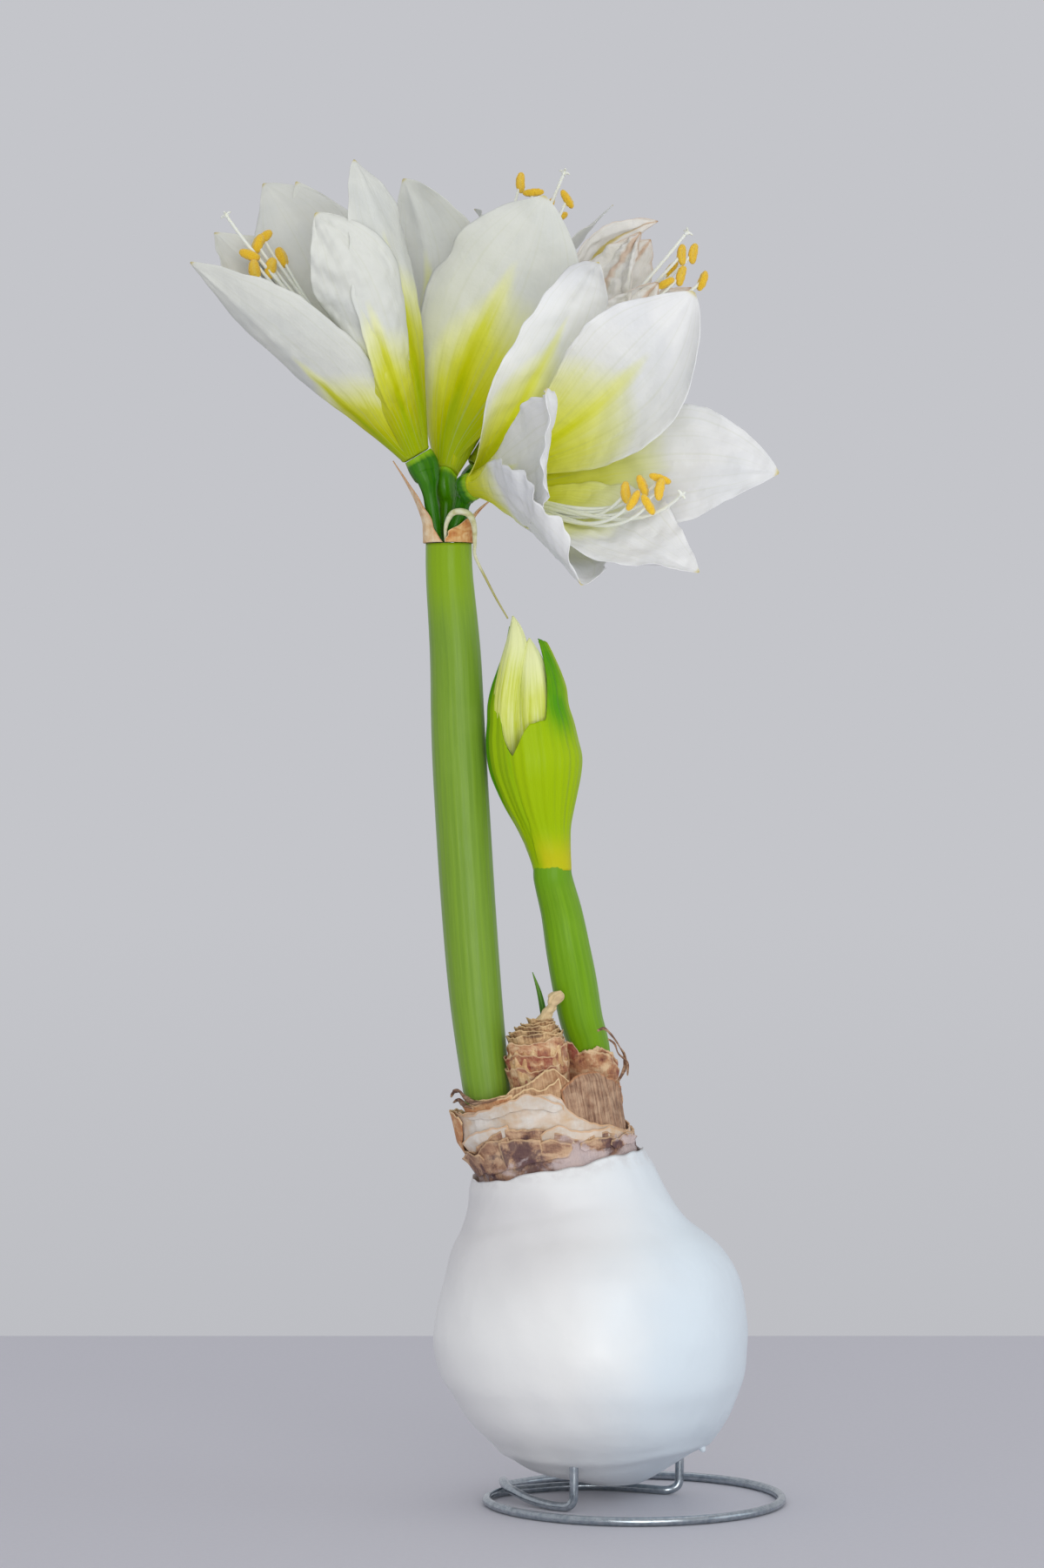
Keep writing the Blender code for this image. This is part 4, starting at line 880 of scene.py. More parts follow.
class Dry(Enum):
    """Which dry papery skin a piece wears."""

    def make(self) -> Material:
        """The material of this skin."""
        return self.value.make()

    CRUST = ScaleFinish(
        "dark_crust", (170, 128, 102), (104, 72, 66), (216, 180, 146), (232, 196, 152), hem=0.5, blotch=0.75,
        smear=0.85, fibre=0.15, spots=(88, 64, 72), spot_size=0.12, relief=0.5,
    )
    PALE = ScaleFinish(
        "pale_scale", (218, 206, 192), (212, 186, 156), (232, 226, 218), (222, 172, 118), hem=0.6,
        blotch=0.25, fibre=0.15, spots=(222, 176, 122), spot_size=0.08, relief=0.1,
    )
    PANEL = ScaleFinish(
        "orange_papery_scale", (208, 146, 98), (172, 104, 66), (230, 186, 138), (236, 204, 160), blotch=0.35,
        fibre=0.35, spots=(154, 84, 56), relief=0.3,
    )
    FIBRE = ScaleFinish(
        "fibrous_scale", (160, 120, 94), (112, 80, 62), (202, 168, 138), (206, 140, 92), hem=0.5, blotch=0.2,
        fibre=0.9, spots=(150, 92, 60), relief=0.4,
    )
    MIDDLE = ScaleFinish(
        "brown_fibrous_scale", (182, 136, 96), (136, 94, 64), (218, 182, 142), (240, 210, 162), blotch=0.25,
        fibre=0.75, spots=(160, 100, 66), relief=0.3,
    )
    FLAP = ScaleFinish(
        "purplish_flap", (194, 134, 94), (128, 66, 54), (236, 204, 162), (240, 212, 168), hem=0.55,
        blotch=0.6, fibre=0.25, spots=(140, 44, 46), spot_size=0.14, relief=0.4,
    )
    NOSE = ScaleFinish(
        "old_leaf_base", (206, 160, 112), (150, 96, 60), (238, 208, 158), (238, 212, 166), blotch=0.4,
        fibre=0.3, spots=(130, 54, 42), spot_size=0.09, relief=0.4,
    )
    RIM = ScaleFinish(
        "ragged_dark_rim", (168, 124, 82), (100, 66, 46), (226, 192, 144), (236, 206, 156), hem=0.6,
        blotch=0.4, fibre=0.5, spots=(84, 50, 40), spot_size=0.16, relief=0.4,
    )
    TIP = ScaleFinish(
        "dark_dry_tip", (140, 98, 74), (84, 54, 44), (190, 158, 128), (200, 164, 124), blotch=0.5, fibre=0.5,
        spot_size=0.3,
    )
    BRACT = ScaleFinish(
        "dry_bract", (232, 200, 156), (216, 172, 122), (244, 224, 190), (206, 140, 96), hem=0.55, blotch=0.25,
        fibre=0.3, spots=(206, 130, 66), relief=0.15,
    )
    FOLD = ScaleFinish(
        "orange_fold", (212, 150, 84), (182, 96, 34), (234, 196, 140), (240, 214, 170), hem=0.6, blotch=0.5,
        fibre=0.3, spots=(176, 78, 20), relief=0.2,
    )
    BRACTEOLE = ScaleFinish(
        "thin_bracteole", (214, 212, 172), (190, 184, 124), (232, 230, 206), (172, 164, 88), blotch=0,
        fibre=0.12, spots=(184, 170, 104), relief=0.05,
    )


# The stand and the bulb


@dataclass
class WireStand:
    """One galvanised wire: front prong, crossing legs, ring and back prong."""

    radius: float = 1.5
    ring_radius: float = 49.5
    rest_height: float = 1.52
    prong_top: float = 32.9
    prongs: tuple[tuple[float, float], tuple[float, float]] = ((-20.2, -21.4), (16.0, 17.0))
    crossing: float = 5.2
    around: int = 20
    stations: int = 620
    dent: float = 0.012  # as a share of the radius
    dent_size: float = 7.0

    def route(self) -> Array:
        """The points that the wire follows: prong, floor, once round the ring, prong."""
        (x1, y1), (x2, y2) = self.prongs
        z, c = self.rest_height, self.crossing
        front = [(x1, y1, self.prong_top), (x1, y1, 18), (x1, y1, 6.5), (x1 - 0.4, y1 + 0.2, 3.4)]
        front += [(x1 - 1.8, y1 + 0.8, z + 0.4), (x1 - 4.2, y1 + 2.2, z), (-29.2, -15.8, z + 0.2)]
        front += [(-35, -10, z + 1.1), (-39.4, -3.8, z + 2.4), (-41.8, 1, c - 0.7)]
        front += [(-43, 5.4, c - 0.1), (-43.5, 10, c), (-43.6, 14.4, c - 0.3)]
        front += [(-43.5, 18.6, z + 2.2), (-43.1, 22.4, z + 0.9)]
        degrees = np.arange(149, -172, -12.7)
        turn = np.radians(degrees)
        heights = z + 0.25 * smooth(138, 149, degrees)
        ring = join(self.ring_radius * np.cos(turn), self.ring_radius * np.sin(turn), heights)
        back = [(-49, -3.4, z), (-48.6, 1.8, z), (-47.2, 6.8, z), (-44.6, 11.2, z), (-40.6, 15, z)]
        back += [(-35.4, 18.2, z), (-30.2, 21, z), (-25.4, 23.2, z), (-19.6, 24.9, z), (-13.6, 25.4, z)]
        back += [(-6.6, 24, z), (0.6, 21, z), (7.4, 17.6, z), (x2 - 4.6, y2 - 1.2, z)]
        back += [(x2 - 1.9, y2 - 0.5, z + 0.6), (x2 - 0.4, y2 - 0.1, 3.5), (x2, y2, 6.6), (x2, y2, 18)]
        back += [(x2, y2, self.prong_top)]
        return np.concatenate([front, ring, back])

    def build(self, bench: Bench) -> None:
        """Builds the wire as a round tube along its route.

        The side of each ring is square to the way and level. Where the wire stands upright, the
        nearest such side is kept, so that the tube doesn't twist.
        """
        path = resample(self.route(), self.stations)
        path[:, 2] = np.maximum(path[:, 2], self.radius + 0.01)
        along = unit(np.gradient(path, axis=0))
        level = np.cross((0, 0, 1), along)
        good = np.flatnonzero(np.linalg.norm(level, axis=1) > 0.5)
        nearest = good[np.abs(np.arange(len(path))[:, None] - good).argmin(axis=1)]
        side = unit(level[nearest])
        side = unit(side - along * np.sum(side * along, axis=1, keepdims=True))
        even = tube_rings(path, np.full(len(path), 2), self.around, side=side)
        dented = self.radius * (1 + self.dent * lumps(even, self.dent_size, 3))
        rings = tube_rings(path, dented, self.around, side=side)
        bench.put("bent_wire", Basket().tube(rings), "wire", ["wire_stand"], WireFinish())


# Left x and z, and right x and z, of the tilted circles of the bulb, from the bottom up.
BULB_LEVELS = (
    (-17.5, 4.8, 3.5, 5.2), (-29.4, 7.6, 8.6, 8), (-38, 11.7, 14.5, 12.1), (-47.4, 19.8, 25.2, 20.4),
    (-54.8, 27.4, 30.6, 28.2), (-60.7, 36.3, 34.6, 37), (-65.1, 43.6, 37.1, 44.4), (-67, 53.8, 37.9, 54.8),
    (-65.8, 62.8, 37, 64), (-63.4, 73.5, 34.4, 75.4), (-61.7, 81, 30.4, 83.2), (-60.3, 86, 25.6, 88.4),
    (-57.9, 91.6, 17.8, 94.6), (-55.4, 98.6, 11.4, 103.6), (-54.8, 108.1, 4, 118.9),
)
NECK_MIDDLE: Place = (-25.4, 0.0, 113.5)  # of the wax rim
BULB_BACK = (15, 13.5, 10, 4.5, 1.2)  # how far behind the middle the lowest levels lie


@dataclass
class WaxCoat:
    """The wax dip round the bulb: an open bowl with soft dents, an uneven rim and one small drip."""

    wall: float = 2.0
    bottom: Place = (-7.0, 15.0, 4.2)
    around: int = 220
    levels: int = 150
    dent: float = 0.55
    dimple: float = 0.22
    lip: float = 1.05
    rim_wave: float = 1.5
    rim_thinning: float = 0.9

    def ring(self, levels: Array, inset: Array, angles: Array) -> Array:
        """Rings of the bulb's outline moved in by the inset, square to its slope.

        Each level of the table gives the left and right end of a tilted circle. The ring is its
        centre + spokes × (radius − inset × cos slope) + its up direction × inset × sin slope.

        Args:
            levels: where in the table of levels, one per ring.
            inset: how far inside the surface, one per ring.
            angles: angles round the ring.

        Returns:
            Points as rings × angles × 3.
        """
        last = len(BULB_LEVELS) - 1
        row = through(BULB_LEVELS, levels)
        wide, tall = row[:, 2] - row[:, 0], row[:, 3] - row[:, 1]
        back = through([[y] for y in BULB_BACK + (0,) * (last + 1 - len(BULB_BACK))], levels)[:, 0]
        centre = join(row[:, 0] + wide / 2, back, row[:, 1] + tall / 2)
        tilt = np.arctan2(tall, wide)
        low, high = (through(BULB_LEVELS, np.clip(levels + step, 0, last)) for step in (-0.05, 0.05))
        grow = np.hypot(high[:, 2] - high[:, 0], high[:, 3] - high[:, 1])
        grow = grow - np.hypot(low[:, 2] - low[:, 0], low[:, 3] - low[:, 1])
        slope = np.arctan2(grow, high[:, 1] + high[:, 3] - low[:, 1] - low[:, 3])
        across, up = join(np.cos(tilt), 0, np.sin(tilt)), join(-np.sin(tilt), 0, np.cos(tilt))
        ways = spokes(angles[None], across[:, None], BACKWARD)
        radius = np.hypot(wide, tall) / 2 - inset * np.cos(slope)
        raised = centre + up * (inset * np.sin(slope))[:, None]
        return raised[:, None] + ways * radius[:, None, None]

    def build(self, bench: Bench) -> None:
        """Builds the bowl: outside rings up to the rim, then inside rings down to the floor."""
        angles = circle(self.around)
        top = len(BULB_LEVELS) - 1
        out_levels = top * np.linspace(0, 1, self.levels) ** 0.97
        in_levels = np.linspace(top, 0, self.levels // 3)
        outer = self.ring(out_levels, 0 * out_levels, angles)
        inner = self.ring(in_levels, self.wall - self.rim_thinning * smooth(top - 1.2, top, in_levels), angles)
        outward = unit((outer - (-14, 0, 55)) * (1, 1, 0.4))
        shape = self.dent * lumps(outer, 34, 11) + self.dimple * lumps(outer, 15, 12)
        outer = outer + outward * (shape + self.ridge(outer) - self.shoulder(outer))[..., None]
        # The last of the rim leans in onto the dry scales.
        lean_in = smooth(top - 0.5, top, out_levels)[:, None, None] * self.lip
        outer = outer - unit((outer - NECK_MIDDLE) * (1, 1, 0)) * lean_in
        rings = np.concatenate([outer, inner])
        levels = np.concatenate([out_levels, in_levels])[:, None]
        wave = self.rim_wave * ragged(angles, 5, (3, 5, 8, 13, 21))
        rings[..., 2] += smooth(top - 1.4, top, levels) * wave
        x, z = rings[..., 0], rings[..., 2]
        # Painted light and shade: side tints the right cool as painted light, and the next layer darkens the upper
        # left as painted shade.
        layers = {"rim": smooth(top - 1.3, top, levels), "side": smooth(-40, 30, x)}
        layers["grey"] = smooth(62, 92, z) * smooth(20, -40, x) * (1 - 0.6 * smooth(100, 112, z))
        floor = np.asarray(self.bottom) + (0, 0, self.wall)
        basket = Basket().tube(rings, self.bottom, floor, **layers)
        self.drip(basket)
        bench.put("wax_dip", basket, "wax", ["wax_coat"], WaxFinish())

    def shoulder(self, at: Array) -> Array:
        """How deep the soft hollows on the shoulder and low on the right are, and a crease."""
        hollows = (
            (1.1, (-46, -34, 84), (9, 14, 7)),
            (0.7, (-30, -40, 92), (7, 14, 5)),
            (0.8, (14, -30, 34), (12, 12, 6)),
        )
        depth = sum(deep * bell((at - place) / reach).prod(axis=-1) for deep, place, reach in hollows)
        line = 101 - 0.0045 * (at[..., 0] + 10) ** 2
        crease = bell((at[..., 2] - line) / 2.6) * smooth(6, -40, at[..., 0])
        return depth + 0.9 * crease * smooth(8, -10, at[..., 1])

    def ridge(self, at: Array) -> Array:
        """Where the second dip of wax ended: a hump 0.8 mm high and a step of 0.3 mm above it."""
        over = at[..., 2] - (18 + 0.9 * np.sin(at[..., 0] / 9) + 0.05 * at[..., 0])
        return 0.8 * bell(over / 2) + 0.3 * smooth(-1.5, 1.5, over)

    def drip(self, basket: Basket) -> None:
        """One small frozen drop low on the right: an egg hanging from the wax."""
        t = np.linspace(0, 1, 12)
        path = join(22 + 1.4 * t, -6, 20.6 - 3 * t)
        radii = 1.2 * np.sqrt(share01(np.sin(np.pi * (0.12 + 0.86 * t))))
        # The drip takes the full cool painted light of the right side and none of the painted shade.
        basket.tube(tube_rings(path, radii, 18, BACKWARD), rim=0, side=1, grey=0)


@dataclass
class BulbFlesh:
    """The bulb inside the wax. Its CAD solid stays and gets a dry brown tissue."""

    def dress(self, node: bpy.types.Object) -> None:
        """Gives the CAD solid its material.

        Args:
            node: the bulb's CAD object.
        """
        coat = Coat("bulb_tissue")
        at = coat.place((1, 1, 0.35))
        strand, cloud = coat.noise(at, 0.6, 5), coat.noise(coat.place(), 0.1, 4)
        colour = coat.mix(coat.span(strand, 0.35, 0.65), (120, 84, 60), (186, 150, 112))
        colour = coat.mix(coat.span(cloud, 0.5, 0.7, 0, 0.6), colour, (78, 48, 38))
        rough = coat.span(strand, 0.3, 0.7, 0.7, 0.88)
        paint = coat.finish(Base_Color=colour, Roughness=rough, Normal=coat.bump(strand, 0.4))
        for held in node.material_slots:
            held.material = paint
        LOG.info("bulb: kept from the CAD, with its own tissue")


# The neck of the bulb


@dataclass(frozen=True)
class NeckFrame:
    """The leaning frame of the neck, from the middle of the wax rim."""

    origin: Place = NECK_MIDDLE
    lean: float = 10.4
    radius: float = 24.7
    step: float = 1.25

    def out(self, points: Array) -> Array:
        """Points of the neck's frame, turned by its lean and moved to its origin."""
        lean = np.radians(self.lean)
        x = points[..., 0] * np.cos(lean) - points[..., 2] * np.sin(lean)
        z = points[..., 0] * np.sin(lean) + points[..., 2] * np.cos(lean)
        return join(x, points[..., 1], z) + np.asarray(self.origin)

    def at(self, angles: Array, radius: Array, height: Array) -> Array:
        """Points round the neck."""
        return self.out(polar(angles, radius, height))

    def layer_radius(self, angle: Array, height: Array, layer: float) -> Array:
        """Outer radius of a layer of scales, with a bulge round the tall stem.

        radius + step × layer + 4.6 × exp(−(angle from 182°/42)²) × rise − what is drawn in above
        27 mm.

        Args:
            angle: angles in radians.
            height: heights above the wax rim.
            layer: 0 inside to 2 outside.

        Returns:
            A radius for each angle and height.
        """
        left = bell((np.degrees(angle) % 360 - 182) / 42)
        bulge = 4.6 * left * share01((height - 1) / 12)
        drawn_in = 0.5 * np.maximum(height - 27, 0) * (1 - 0.6 * left)
        return self.radius + self.step * layer + bulge - drawn_in


@dataclass(frozen=True)
class Patch:
    """A torn piece of a scale: the heights of its lower and upper edge by angle, and how it lies."""

    low: Stations
    top: Stations
    layer: float
    skin: Dry
    seed: int
    flare: float = 0.5
    fray: float = 0.6
    wall: float = 0.35


@dataclass(frozen=True)
class Scale:
    """One dry scale of the neck: how high it reaches by angle, how it lies and how its edge frays."""

    name: str
    node: str
    slot: str
    skin: Dry
    layer: float
    top: Stations
    low: float
    fray: float
    seed: int
    curl: float
    wall: float
    ribs: float
    wet: float = 0.0
    patches: tuple[Patch, ...] = ()


NECK_SCALES = (
    Scale(
        "crust_scale", "crust_band", "dark_crust", Dry.CRUST, 2,
        ((0, 6.5), (40, 9), (90, 10), (140, 9), (180, 8.6), (205, 10.4), (220, 13), (232, 15.4),
         (243, 15.6), (258, 14.2), (275, 12), (290, 8.6), (308, 8.8), (325, 6.8), (345, 5.2), (360, 6.5)),
        -2.4, 1.3, 21, 0.7, 0.7, 0.22, 1,
        (
            Patch(((186, 1), (216, 2)), ((186, 7.5), (200, 9.5), (216, 9)), 2.5, Dry.CRUST, 61, 1.2),
            Patch(((208, 0.4), (240, 3)), ((208, 8.5), (224, 12.4), (240, 13.4)), 2.3, Dry.CRUST, 62, 1),
            Patch(((232, 2.4), (262, 4.2)), ((232, 11.8), (248, 12.6), (262, 10.6)), 2.6, Dry.CRUST, 63, 1.3),
            Patch(((254, 3.4), (282, 4.2)), ((254, 9.6), (268, 10.6), (282, 7.8)), 2.4, Dry.CRUST, 64, 0.9),
            Patch(((288, 3.8), (318, 4)), ((288, 6.8), (302, 8.2), (318, 6.6)), 2.4, Dry.CRUST, 65, 0.8),
            Patch(((312, 3.4), (346, 2.6)), ((312, 6.2), (330, 6.6), (346, 4.8)), 2.6, Dry.CRUST, 66, 0.9),
            Patch(((60, 1), (110, 1)), ((60, 7), (84, 9), (110, 7.5)), 2.4, Dry.CRUST, 67, 1),
        ),
    ),
    Scale(
        "pale_papery_scale", "pale_band", "pale_scale", Dry.PALE, 1,
        ((0, 8), (30, 12), (90, 18), (150, 21), (180, 23.4), (201, 22.4), (221, 22.8), (239, 23.9),
         (253, 25), (262, 25.6), (274, 24.8), (281, 22.6), (285, 18.6), (292, 15.4), (302, 13.2),
         (313, 11.4), (345, 7.2), (360, 8)),
        -2.4, 0.6, 22, 0.7, 0.5, 0.1, patches=(
            Patch(((146, 6), (180, 7), (190, 12), (200, 18)),
                  ((146, 20), (176, 24.4), (192, 23.2), (200, 21.6)), 1.8, Dry.PANEL, 71, 1.6, 0.9),
            Patch(((196, 20.6), (221, 20), (253, 21.4), (282, 18)),
                  ((196, 23.4), (212, 21.6), (232, 24.2), (256, 26), (270, 24.4), (282, 20.4)),
                  1.25, Dry.PALE, 72, 0.7, 0.8),
            Patch(((262, 9), (350, 3)), ((262, 12.6), (276, 14.2), (292, 11), (316, 9.8), (350, 5.6)),
                  1.7, Dry.PALE, 73, 0.6, 0.7),
            Patch(((196, 8.5), (240, 13)), ((196, 13.4), (212, 16), (240, 17.6)), 1.6, Dry.PALE, 74, 0.8),
        ),
    ),
    Scale(
        "fibrous_scale", "fibre_scale", "brown_scale", Dry.FIBRE, 0,
        ((-77, 26), (-71, 27.4), (-64, 28.7), (-55, 29.4), (-38, 28.6), (-27, 25.6), (0, 21), (36, 17)),
        -1.6, 0.7, 23, 0.7, 0.5, 0.3,
    ),
    Scale(
        "middle_fibrous_scale", "middle_scale", "brown_scale", Dry.MIDDLE, -0.35,
        ((204, 26.6), (221, 26.2), (240, 27), (246, 29), (258, 29.4), (267, 31), (275, 32.5), (283, 32.2),
         (292, 27.5)),
        1, 0.6, 24, 0.6, 0.5, 0.22, patches=(
            Patch(((244, 20), (284, 22)), ((244, 26), (256, 27.6), (268, 26.8), (284, 29.4)),
                  0.15, Dry.MIDDLE, 76, 0.6, 0.8),
            Patch(((200, 20), (246, 22)), ((200, 25.6), (214, 25), (230, 26.4), (246, 26.8)),
                  0.3, Dry.PANEL, 77, 0.5, 0.6),
        ),
    ),
    Scale(
        "back_dry_scale", "back_scale", "brown_scale", Dry.FIBRE, 0,
        ((48, 17), (80, 26), (120, 24), (144, 20)), -1.6, 0.7, 25, 0.6, 0.5, 0.25,
    ),
)
# The flaps' upper edges, their distance from the short stem's middle line, and a seed.
STEM_FLAPS = (
    (((186, 140), (205, 147), (216, 151.5), (226, 154.4), (236, 153.4), (246, 150.6), (262, 151.6),
      (285, 151.2), (310, 150), (328, 147), (345, 143.5)), 9.3, 81),
    (((170, 140), (200, 146), (240, 149), (262, 150.6), (290, 152.6), (312, 151.6), (330, 149.8),
      (356, 147)), 8.2, 82),
)
# Height, middle x and y, and radius of the old leaf bases.
NOSE_LEVELS = (
    (9.8, -2, -8.6, 8.4), (24, -1.4, -8.8, 9.3), (32, -0.8, -8.8, 9.8), (37, -0.4, -8.8, 9.8),
    (40.5, 0, -8.8, 9.2), (43, 0.4, -8.8, 8.2), (45, 0.8, -8.8, 6.8), (46.4, 2, -8.8, 5),
    (48, 3.4, -8.6, 3.4), (49.6, 4.8, -8.6, 2.5), (51.4, 6.6, -8.6, 2.2), (52.8, 8, -8.6, 2),
    (54.2, 9.2, -8.6, 2.7), (55.8, 9.7, -8.6, 2.5), (57, 9.9, -8.6, 1.3),
)
# Bottom, top, middle, radius at the bottom and at the top, and how far the edge frays.
NOSE_RIMS = (
    (26, 34, -0.8, 9.9, 10.6, 1.4), (30, 38.4, -0.4, 9.9, 10.5, 1.2), (35, 42.2, 0, 9.6, 10, 1.1),
    (39, 44.4, 0.2, 8.8, 9.5, 0.9), (41, 45.4, 0.4, 7.8, 8.6, 0.8), (43, 46.8, 1.2, 6.6, 7.2, 0.7),
    (44.4, 47.8, 2, 5.2, 5.9, 0.6), (45.6, 49, 3, 3.9, 4.6, 0.5),
)
# Name, node, and the strips: points in the neck's frame with half the width, and how flat it is.
CURLS = (
    ("right_curled_strip", "dry_curl_right", (
        (((21, -16.8, 42, 0.3), (23.2, -16.2, 42.4, 0.4), (24.8, -15.4, 40.6, 0.42),
          (26.2, -14, 38, 0.5), (27.4, -12.4, 35, 0.5), (28.4, -10.8, 32, 0.5),
          (27.6, -9.4, 27.6, 0.5), (24.5, -8, 23.4, 0.35)), 0.5),
        (((24, -14.8, 38.6, 0.2), (25.8, -14, 36.6, 0.3), (26.4, -13, 33.4, 0.35),
          (27.6, -12, 31.6, 0.35), (28.6, -11.4, 30.2, 0.4), (28.8, -10.8, 28.4, 0.4),
          (28.2, -10.4, 25.2, 0.2)), 0.7),
    )),
    ("left_curled_tip", "dry_curl_left", (
        (((-31, -2, 28.2, 0.2), (-29.9, -4, 29.7, 0.6), (-28, -8, 30.2, 0.7),
          (-26.2, -12, 27.9, 0.8), (-23.5, -16, 26, 0.8), (-19.2, -19.6, 25.6, 0.7),
          (-14.8, -21.6, 26.2, 0.4)), 0.5),
        (((-30.4, -4, 26.4, 0.3), (-28.6, -8, 27.2, 0.6), (-26.6, -13, 25.4, 0.7),
          (-24, -17, 24.2, 0.4)), 0.6),
    )),
)
NEW_LEAF = (
    (-28.9, 0.7, 152, 0.9), (-29.4, 0.4, 158, 1.1), (-30.2, -0.2, 164.2, 1), (-31.6, -0.8, 170.8, 0.7),
    (-33.8, -1.4, 177.4, 0.12),
)


@dataclass
class Neck:
    """The dry top of the bulb: papery scales, old leaf bases, curled tips and a new leaf."""

    frame: NeckFrame = field(default_factory=NeckFrame)
    rows: int = 56
    around: int = 300
    reach: float = 24.0  # millimetres along the wall for each radian
    uv_reach: float = 25.0
    rim_squash: float = 0.94  # how flat the old leaf bases are from front to back

    def border(self, angles: Array, below: Array, rim: float, side: float) -> Array:
        """1 at the upper edge and the two side edges of a piece, fading inwards over two widths."""
        sides = np.minimum(angles - angles[0], angles[-1] - angles) * self.reach
        return np.maximum(share01(1 - below / rim), share01(1 - sides / side))

    def patch(self, basket: Basket, kind: Patch, paint: int) -> None:
        """Adds one torn piece of a scale: a sheet between two heights that stands off at its top.

        Args:
            basket: the scale's shells.
            kind: its sizes.
            paint: which of the object's materials.
        """
        start, end = kind.top[0][0], kind.top[-1][0]
        degrees = np.linspace(start, end, int((end - start) * 0.9) + 12)
        angles = np.radians(degrees)
        ends = smooth(0, 0.1, np.minimum(degrees - start, end - degrees) / (end - start))
        high = edge_at(kind.top, degrees) + ragged(angles, kind.seed, (9, 17, 31, 53)) * kind.fray
        low = edge_at(kind.low, degrees) + ragged(angles, kind.seed + 3, (7, 15, 29)) * 0.6
        low = low + (high - low) * 0.45 * (1 - ends)
        share = rows01(26)
        height = low + (high - low) * share
        flat = polar(angles, self.reach, height * 0.6)
        radius = self.frame.layer_radius(angles, height, kind.layer) + 0.3 * lumps(flat, 6, kind.seed)
        lift = kind.flare * share**2 * (0.5 + 0.7 * lumps(flat, 9, kind.seed + 1))
        grid = self.frame.at(angles, radius + lift - 0.3 * (1 - share), height)
        edge = self.border(angles, high - height, 1.3, 1)
        foot = share01(1 - height / 6) + smooth(250, 300, degrees) * smooth(16, 9, height)
        basket.sheet(grid, kind.wall, join(angles * self.uv_reach, height), paint, edge=edge, foot=foot)

    def scale(self, bench: Bench, kind: Scale) -> None:
        """Builds one scale.

        A point at angle a and share t of the height stands at the layer's radius, less half the
        wall, plus fine ribs round the neck, soft lumps, and a curl outwards near the edge.

        Args:
            bench: where the piece goes.
            kind: its sizes.
        """
        start, end = kind.top[0][0], kind.top[-1][0]
        whole = end - start == 360
        if whole:
            angles = circle(self.around)
            high = round_table(kind.top, np.degrees(angles))
        else:
            angles = np.radians(np.linspace(start, end, int((end - start) * 1.4)))
            high = edge_at(kind.top, np.degrees(angles))
        high = high + ragged(angles, kind.seed, (5, 9, 16, 29, 47)) * kind.fray
        height = kind.low + (high - kind.low) * rows01(self.rows) ** 0.85
        radius = self.frame.layer_radius(angles, height, kind.layer) - kind.wall / 2 - 0.1
        near_edge = share01(1 - (high - height) / 6)
        ribs = np.sin(angles * 46 + 2 * np.sin(angles * 5 + kind.seed)) + 0.6 * np.sin(angles * 83 + kind.seed)
        soft = lumps(polar(angles, radius, height) * (1, 1, 0.5), 9, kind.seed + 40)
        curl = kind.curl * near_edge**2 * (0.4 + 0.8 * ragged(angles, kind.seed + 7, (4, 7, 12)))
        radius = radius + kind.ribs * ribs * (0.4 + 0.6 * near_edge) * smooth(-2, 4, height)
        radius = radius + 0.3 * soft + curl
        grid = self.frame.at(angles, radius, height)
        foot = share01(1 - (height - 1) / 9) + kind.wet * smooth(250, 300, np.degrees(angles))
        basket = Basket()
        if whole:
            edge = share01(1 - (high - height) / 1.5)
            inner = self.frame.at(angles, radius - kind.wall, height)
            layers = {"edge": folded(edge, edge), "foot": folded(foot, foot)}
            basket.tube(folded(grid, inner), closed=True, **layers)
        else:
            edge = self.border(angles, high - height, 1.5, 1.3)
            basket.sheet(grid, kind.wall, join(angles * self.uv_reach, height), edge=edge, foot=foot)
        skins = [kind.skin]
        for torn in kind.patches:
            if torn.skin not in skins:
                skins.append(torn.skin)
            self.patch(basket, torn, skins.index(torn.skin))
        bench.put(kind.name, basket, kind.slot, [kind.node], *skins)

    def stem_flaps(self, bench: Bench) -> None:
        """Builds two torn flaps that stand round the foot of the short stem.

        Each is a wall round the stem's middle line, from 126 mm up to a ragged edge that follows
        a table of angle and height.
        """
        basket, foot = Basket(), 126
        for table, distance, seed in STEM_FLAPS:
            degrees = np.linspace(table[0][0], table[-1][0], 260)
            angles = np.radians(degrees)
            high = edge_at(table, degrees) + ragged(angles, seed, (9, 17, 31, 53)) * 0.55
            share = rows01(40)
            height = foot + (high - foot) * share
            levels = [row[2] for row in SHORT_STEM]
            middle = through(SHORT_STEM, np.interp(height, levels, np.arange(len(levels))))[..., :3]
            at = polar(angles, 9, height)
            radius = distance + 0.5 * lumps(at, 7, seed) + 1.1 * share**4 * (0.3 + lumps(at, 6, seed + 5))
            grid = polar(angles, radius, height) + middle * (1, 1, 0)
            edge = share01(1 - (high - height) / 1.6)
            basket.sheet(grid, 0.4, join(angles * 9, height), edge=edge, foot=0)
        bench.put("short_stem_flaps", basket, "brown_scale", ["stem_flap"], Dry.FLAP)

